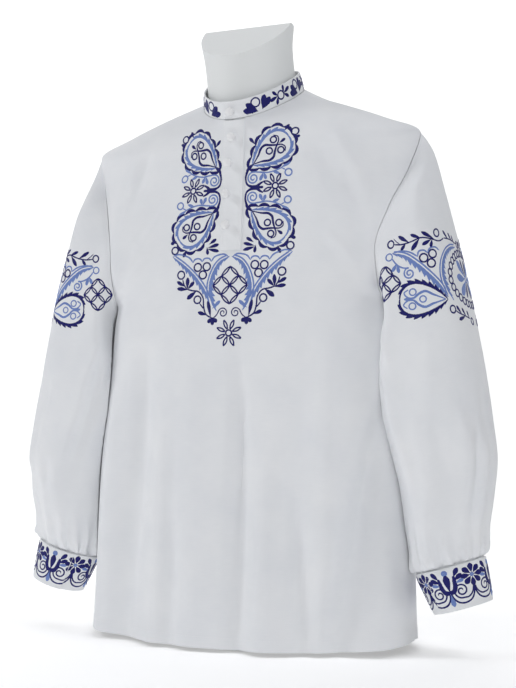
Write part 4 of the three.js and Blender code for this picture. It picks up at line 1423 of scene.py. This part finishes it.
# ---------------------------------------------------------------------------
# Cuff embroidery
# Daisies and tulips by turns round each cuff, with a pair of scrolls rising from each tulip's
# foot to the daisies beside it.
CUFF_REPEATS, CUFF_PERIOD = 4, 61
CUFF_START = 31  # the first daisy stands about this far round from the wrist's outer line


def cuff_repeat():
    """A daisy at x = 0 with half a tulip's scroll on each side; the tulip stands at x = 30."""
    daisy = ring((0, 33.5), 1.4, 2.6, BLUE)
    for k in range(8):
        daisy += bud(33.5j + 2.4 * turned(90 + k * 45), 33.5j + 14.2 * turned(90 + k * 45), 7.6)
    half = scroll([(1.2, 21), (2.4, 15), (5.6, 10.4), (10.4, 7.8)], (16.8, 17.4), 9.8, -105, 1.8, 2.2)
    half += stem([(0.6, 21), (1.6, 11.4), (6.4, 4.4), (14.5, 1.6), (23, 3.4), (28.2, 9.6), (30, 18)], 2.4)
    half += bud((21.8, 28), (11, 30.6), 5, BLUE)
    half += stem([(30.5, 17), (25.6, 18.2), (22.8, 23), (22, 31), (21.6, 37)], [6.4, 6.4, 6, 5, 3])
    half += bud((22, 31), (12, 38), 6.4) + bud((21.8, 35.6), (15, 46.4), 6.4)
    tulip = bud((30.5, 18), (30.5, 40.4), 8.4) + ring((30.5, 42.6), 1.9, 3.7, BLUE)
    tulip += bud((30.5, 16), (30.5, -0.6), 7, BLUE)
    return daisy + half + mirrored(half) + tulip


cuff_strokes = []
for k in range(CUFF_REPEATS):
    cuff_strokes += moved(cuff_repeat(), (k * CUFF_PERIOD + 1e-6, 0))


def round_cuff(side):
    """Where the drawing lands on one cuff, from a start on the wrist's outer line."""
    turn = np.linspace(0, 2 * np.pi, 400)
    arc = travelled(ring_points(cuff_row(0.5), turn)) / MM
    span = CUFF_REPEATS * CUFF_PERIOD

    def place(points):
        along = (points.real + CUFF_START) % span / span * arc[-1]
        at = np.interp(along, arc, turn)
        row = cuff_row(np.clip((points.imag + 5) / 55, 0.03, 0.97))
        aim = ring_points(row, at)
        x, z = ((row["inner" + axis] + row["outer" + axis]) / 2 for axis in "XZ")
        way = np.stack([x, row["midY"], z], -1) - aim
        way /= np.linalg.norm(way, axis=-1, keepdims=True)
        return (aim - way * 15 * MM) * (side, 1, 1), way * (side, 1, 1)

    return place


for hand, side in (("right", -1), ("left", 1)):
    cloth = bpy.data.objects[f"{hand}_cuff"]
    lay(f"{hand}_cuff_embroidery", cuff_strokes, cloth, round_cuff(side), 0.4)

# ---------------------------------------------------------------------------
# Camera, light and floor
# A level view from the front and a little to the shirt's left, near the height of its waist, in a
# studio of pale paper. The main soft box stands to the shirt's right and another above its left, one
# fills in from the front, and two more light the floor and the backdrop.
camera = bpy.data.cameras.new("camera")
camera.lens = 68.2
camera.shift_x, camera.shift_y = 0.0102, 0.0814
viewpoint = bpy.data.objects.new("camera", camera)
bpy.context.scene.collection.objects.link(viewpoint)
VIEW_TURN, VIEW_DISTANCE, VIEW_HEIGHT = math.radians(23), 1.8, 329 * MM
across, ahead = VIEW_DISTANCE * math.sin(VIEW_TURN), -VIEW_DISTANCE * math.cos(VIEW_TURN)
viewpoint.location = (across, ahead, VIEW_HEIGHT)
viewpoint.rotation_euler = (math.pi / 2, 0, VIEW_TURN)
bpy.context.scene.camera = viewpoint

# Studio paper: dead matt, and glowing faintly so that it stays pale under the soft boxes.
paper, _, shader = new_material("matt studio paper")
glow = {"Emission Color": colour("#ffffff"), "Emission Strength": 0.3}
give(shader, {"Base Color": colour("#f6f6f6"), "Roughness": 0.9, **glow})
SWEEP_HALF_WIDTH, SWEEP_FRONT, SWEEP_BACK, SWEEP_RADIUS, SWEEP_TOP = 5, -4, 3.2, 1.2, 5
bend = np.linspace(0, np.pi / 2, 17)
sweep_y = np.concatenate([[SWEEP_FRONT], SWEEP_BACK - SWEEP_RADIUS * (1 - np.sin(bend)), [SWEEP_BACK]])
sweep_z = np.concatenate([[0], SWEEP_RADIUS * (1 - np.cos(bend)), [SWEEP_TOP]])
sweep_points = [[(x, y, z) for x in (-SWEEP_HALF_WIDTH, SWEEP_HALF_WIDTH)] for y, z in zip(sweep_y, sweep_z)]
sweep_faces = [(2 * k, 2 * k + 1, 2 * k + 3, 2 * k + 2) for k in range(len(sweep_y) - 1)]
floor = new_mesh("floor", np.array(sweep_points), sweep_faces, paper)
floor.rotation_euler.z = VIEW_TURN

world = bpy.data.worlds.new("studio")
world.use_nodes = True
give(world.node_tree.nodes["Background"], {"Color": colour("#fafbff"), "Strength": 0.13})
bpy.context.scene.world = world


def soft_box(name, place, aim, width, height, watts, tint):
    """A square light aimed at a point."""
    data = bpy.data.lights.new(name, "AREA")
    data.shape, data.size, data.size_y = "RECTANGLE", width, height
    data.energy, data.color = watts, colour(tint)[:3]
    lamp = bpy.data.objects.new(name, data)
    lamp.location = place
    lamp.rotation_euler = (Vector(aim) - Vector(place)).to_track_quat("-Z", "Y").to_euler()
    bpy.context.scene.collection.objects.link(lamp)


soft_box("key light", (-2.35, -1.2, 2.1), (0, 0, 0.5), 0.9, 0.9, 26, "#fbfcff")
soft_box("top light", (1.8, -0.3, 2.5), (0.1, 0, 0.6), 1.0, 1.0, 15, "#f8faff")
soft_box("fill light", (0.7, -2.5, 1.3), (0, 0, 0.5), 1.2, 1.2, 14, "#fbfcff")
soft_box("floor light", (0.3, -0.6, 2.6), (0.3, -0.6, 0), 2.4, 1.0, 6, "#ffffff")
soft_box("backdrop light", (-0.9, 1.2, 2.9), (-1.2, 3.2, 0.6), 3.2, 1.2, 40, "#ffffff")
bpy.context.scene.view_settings.view_transform = "Standard"
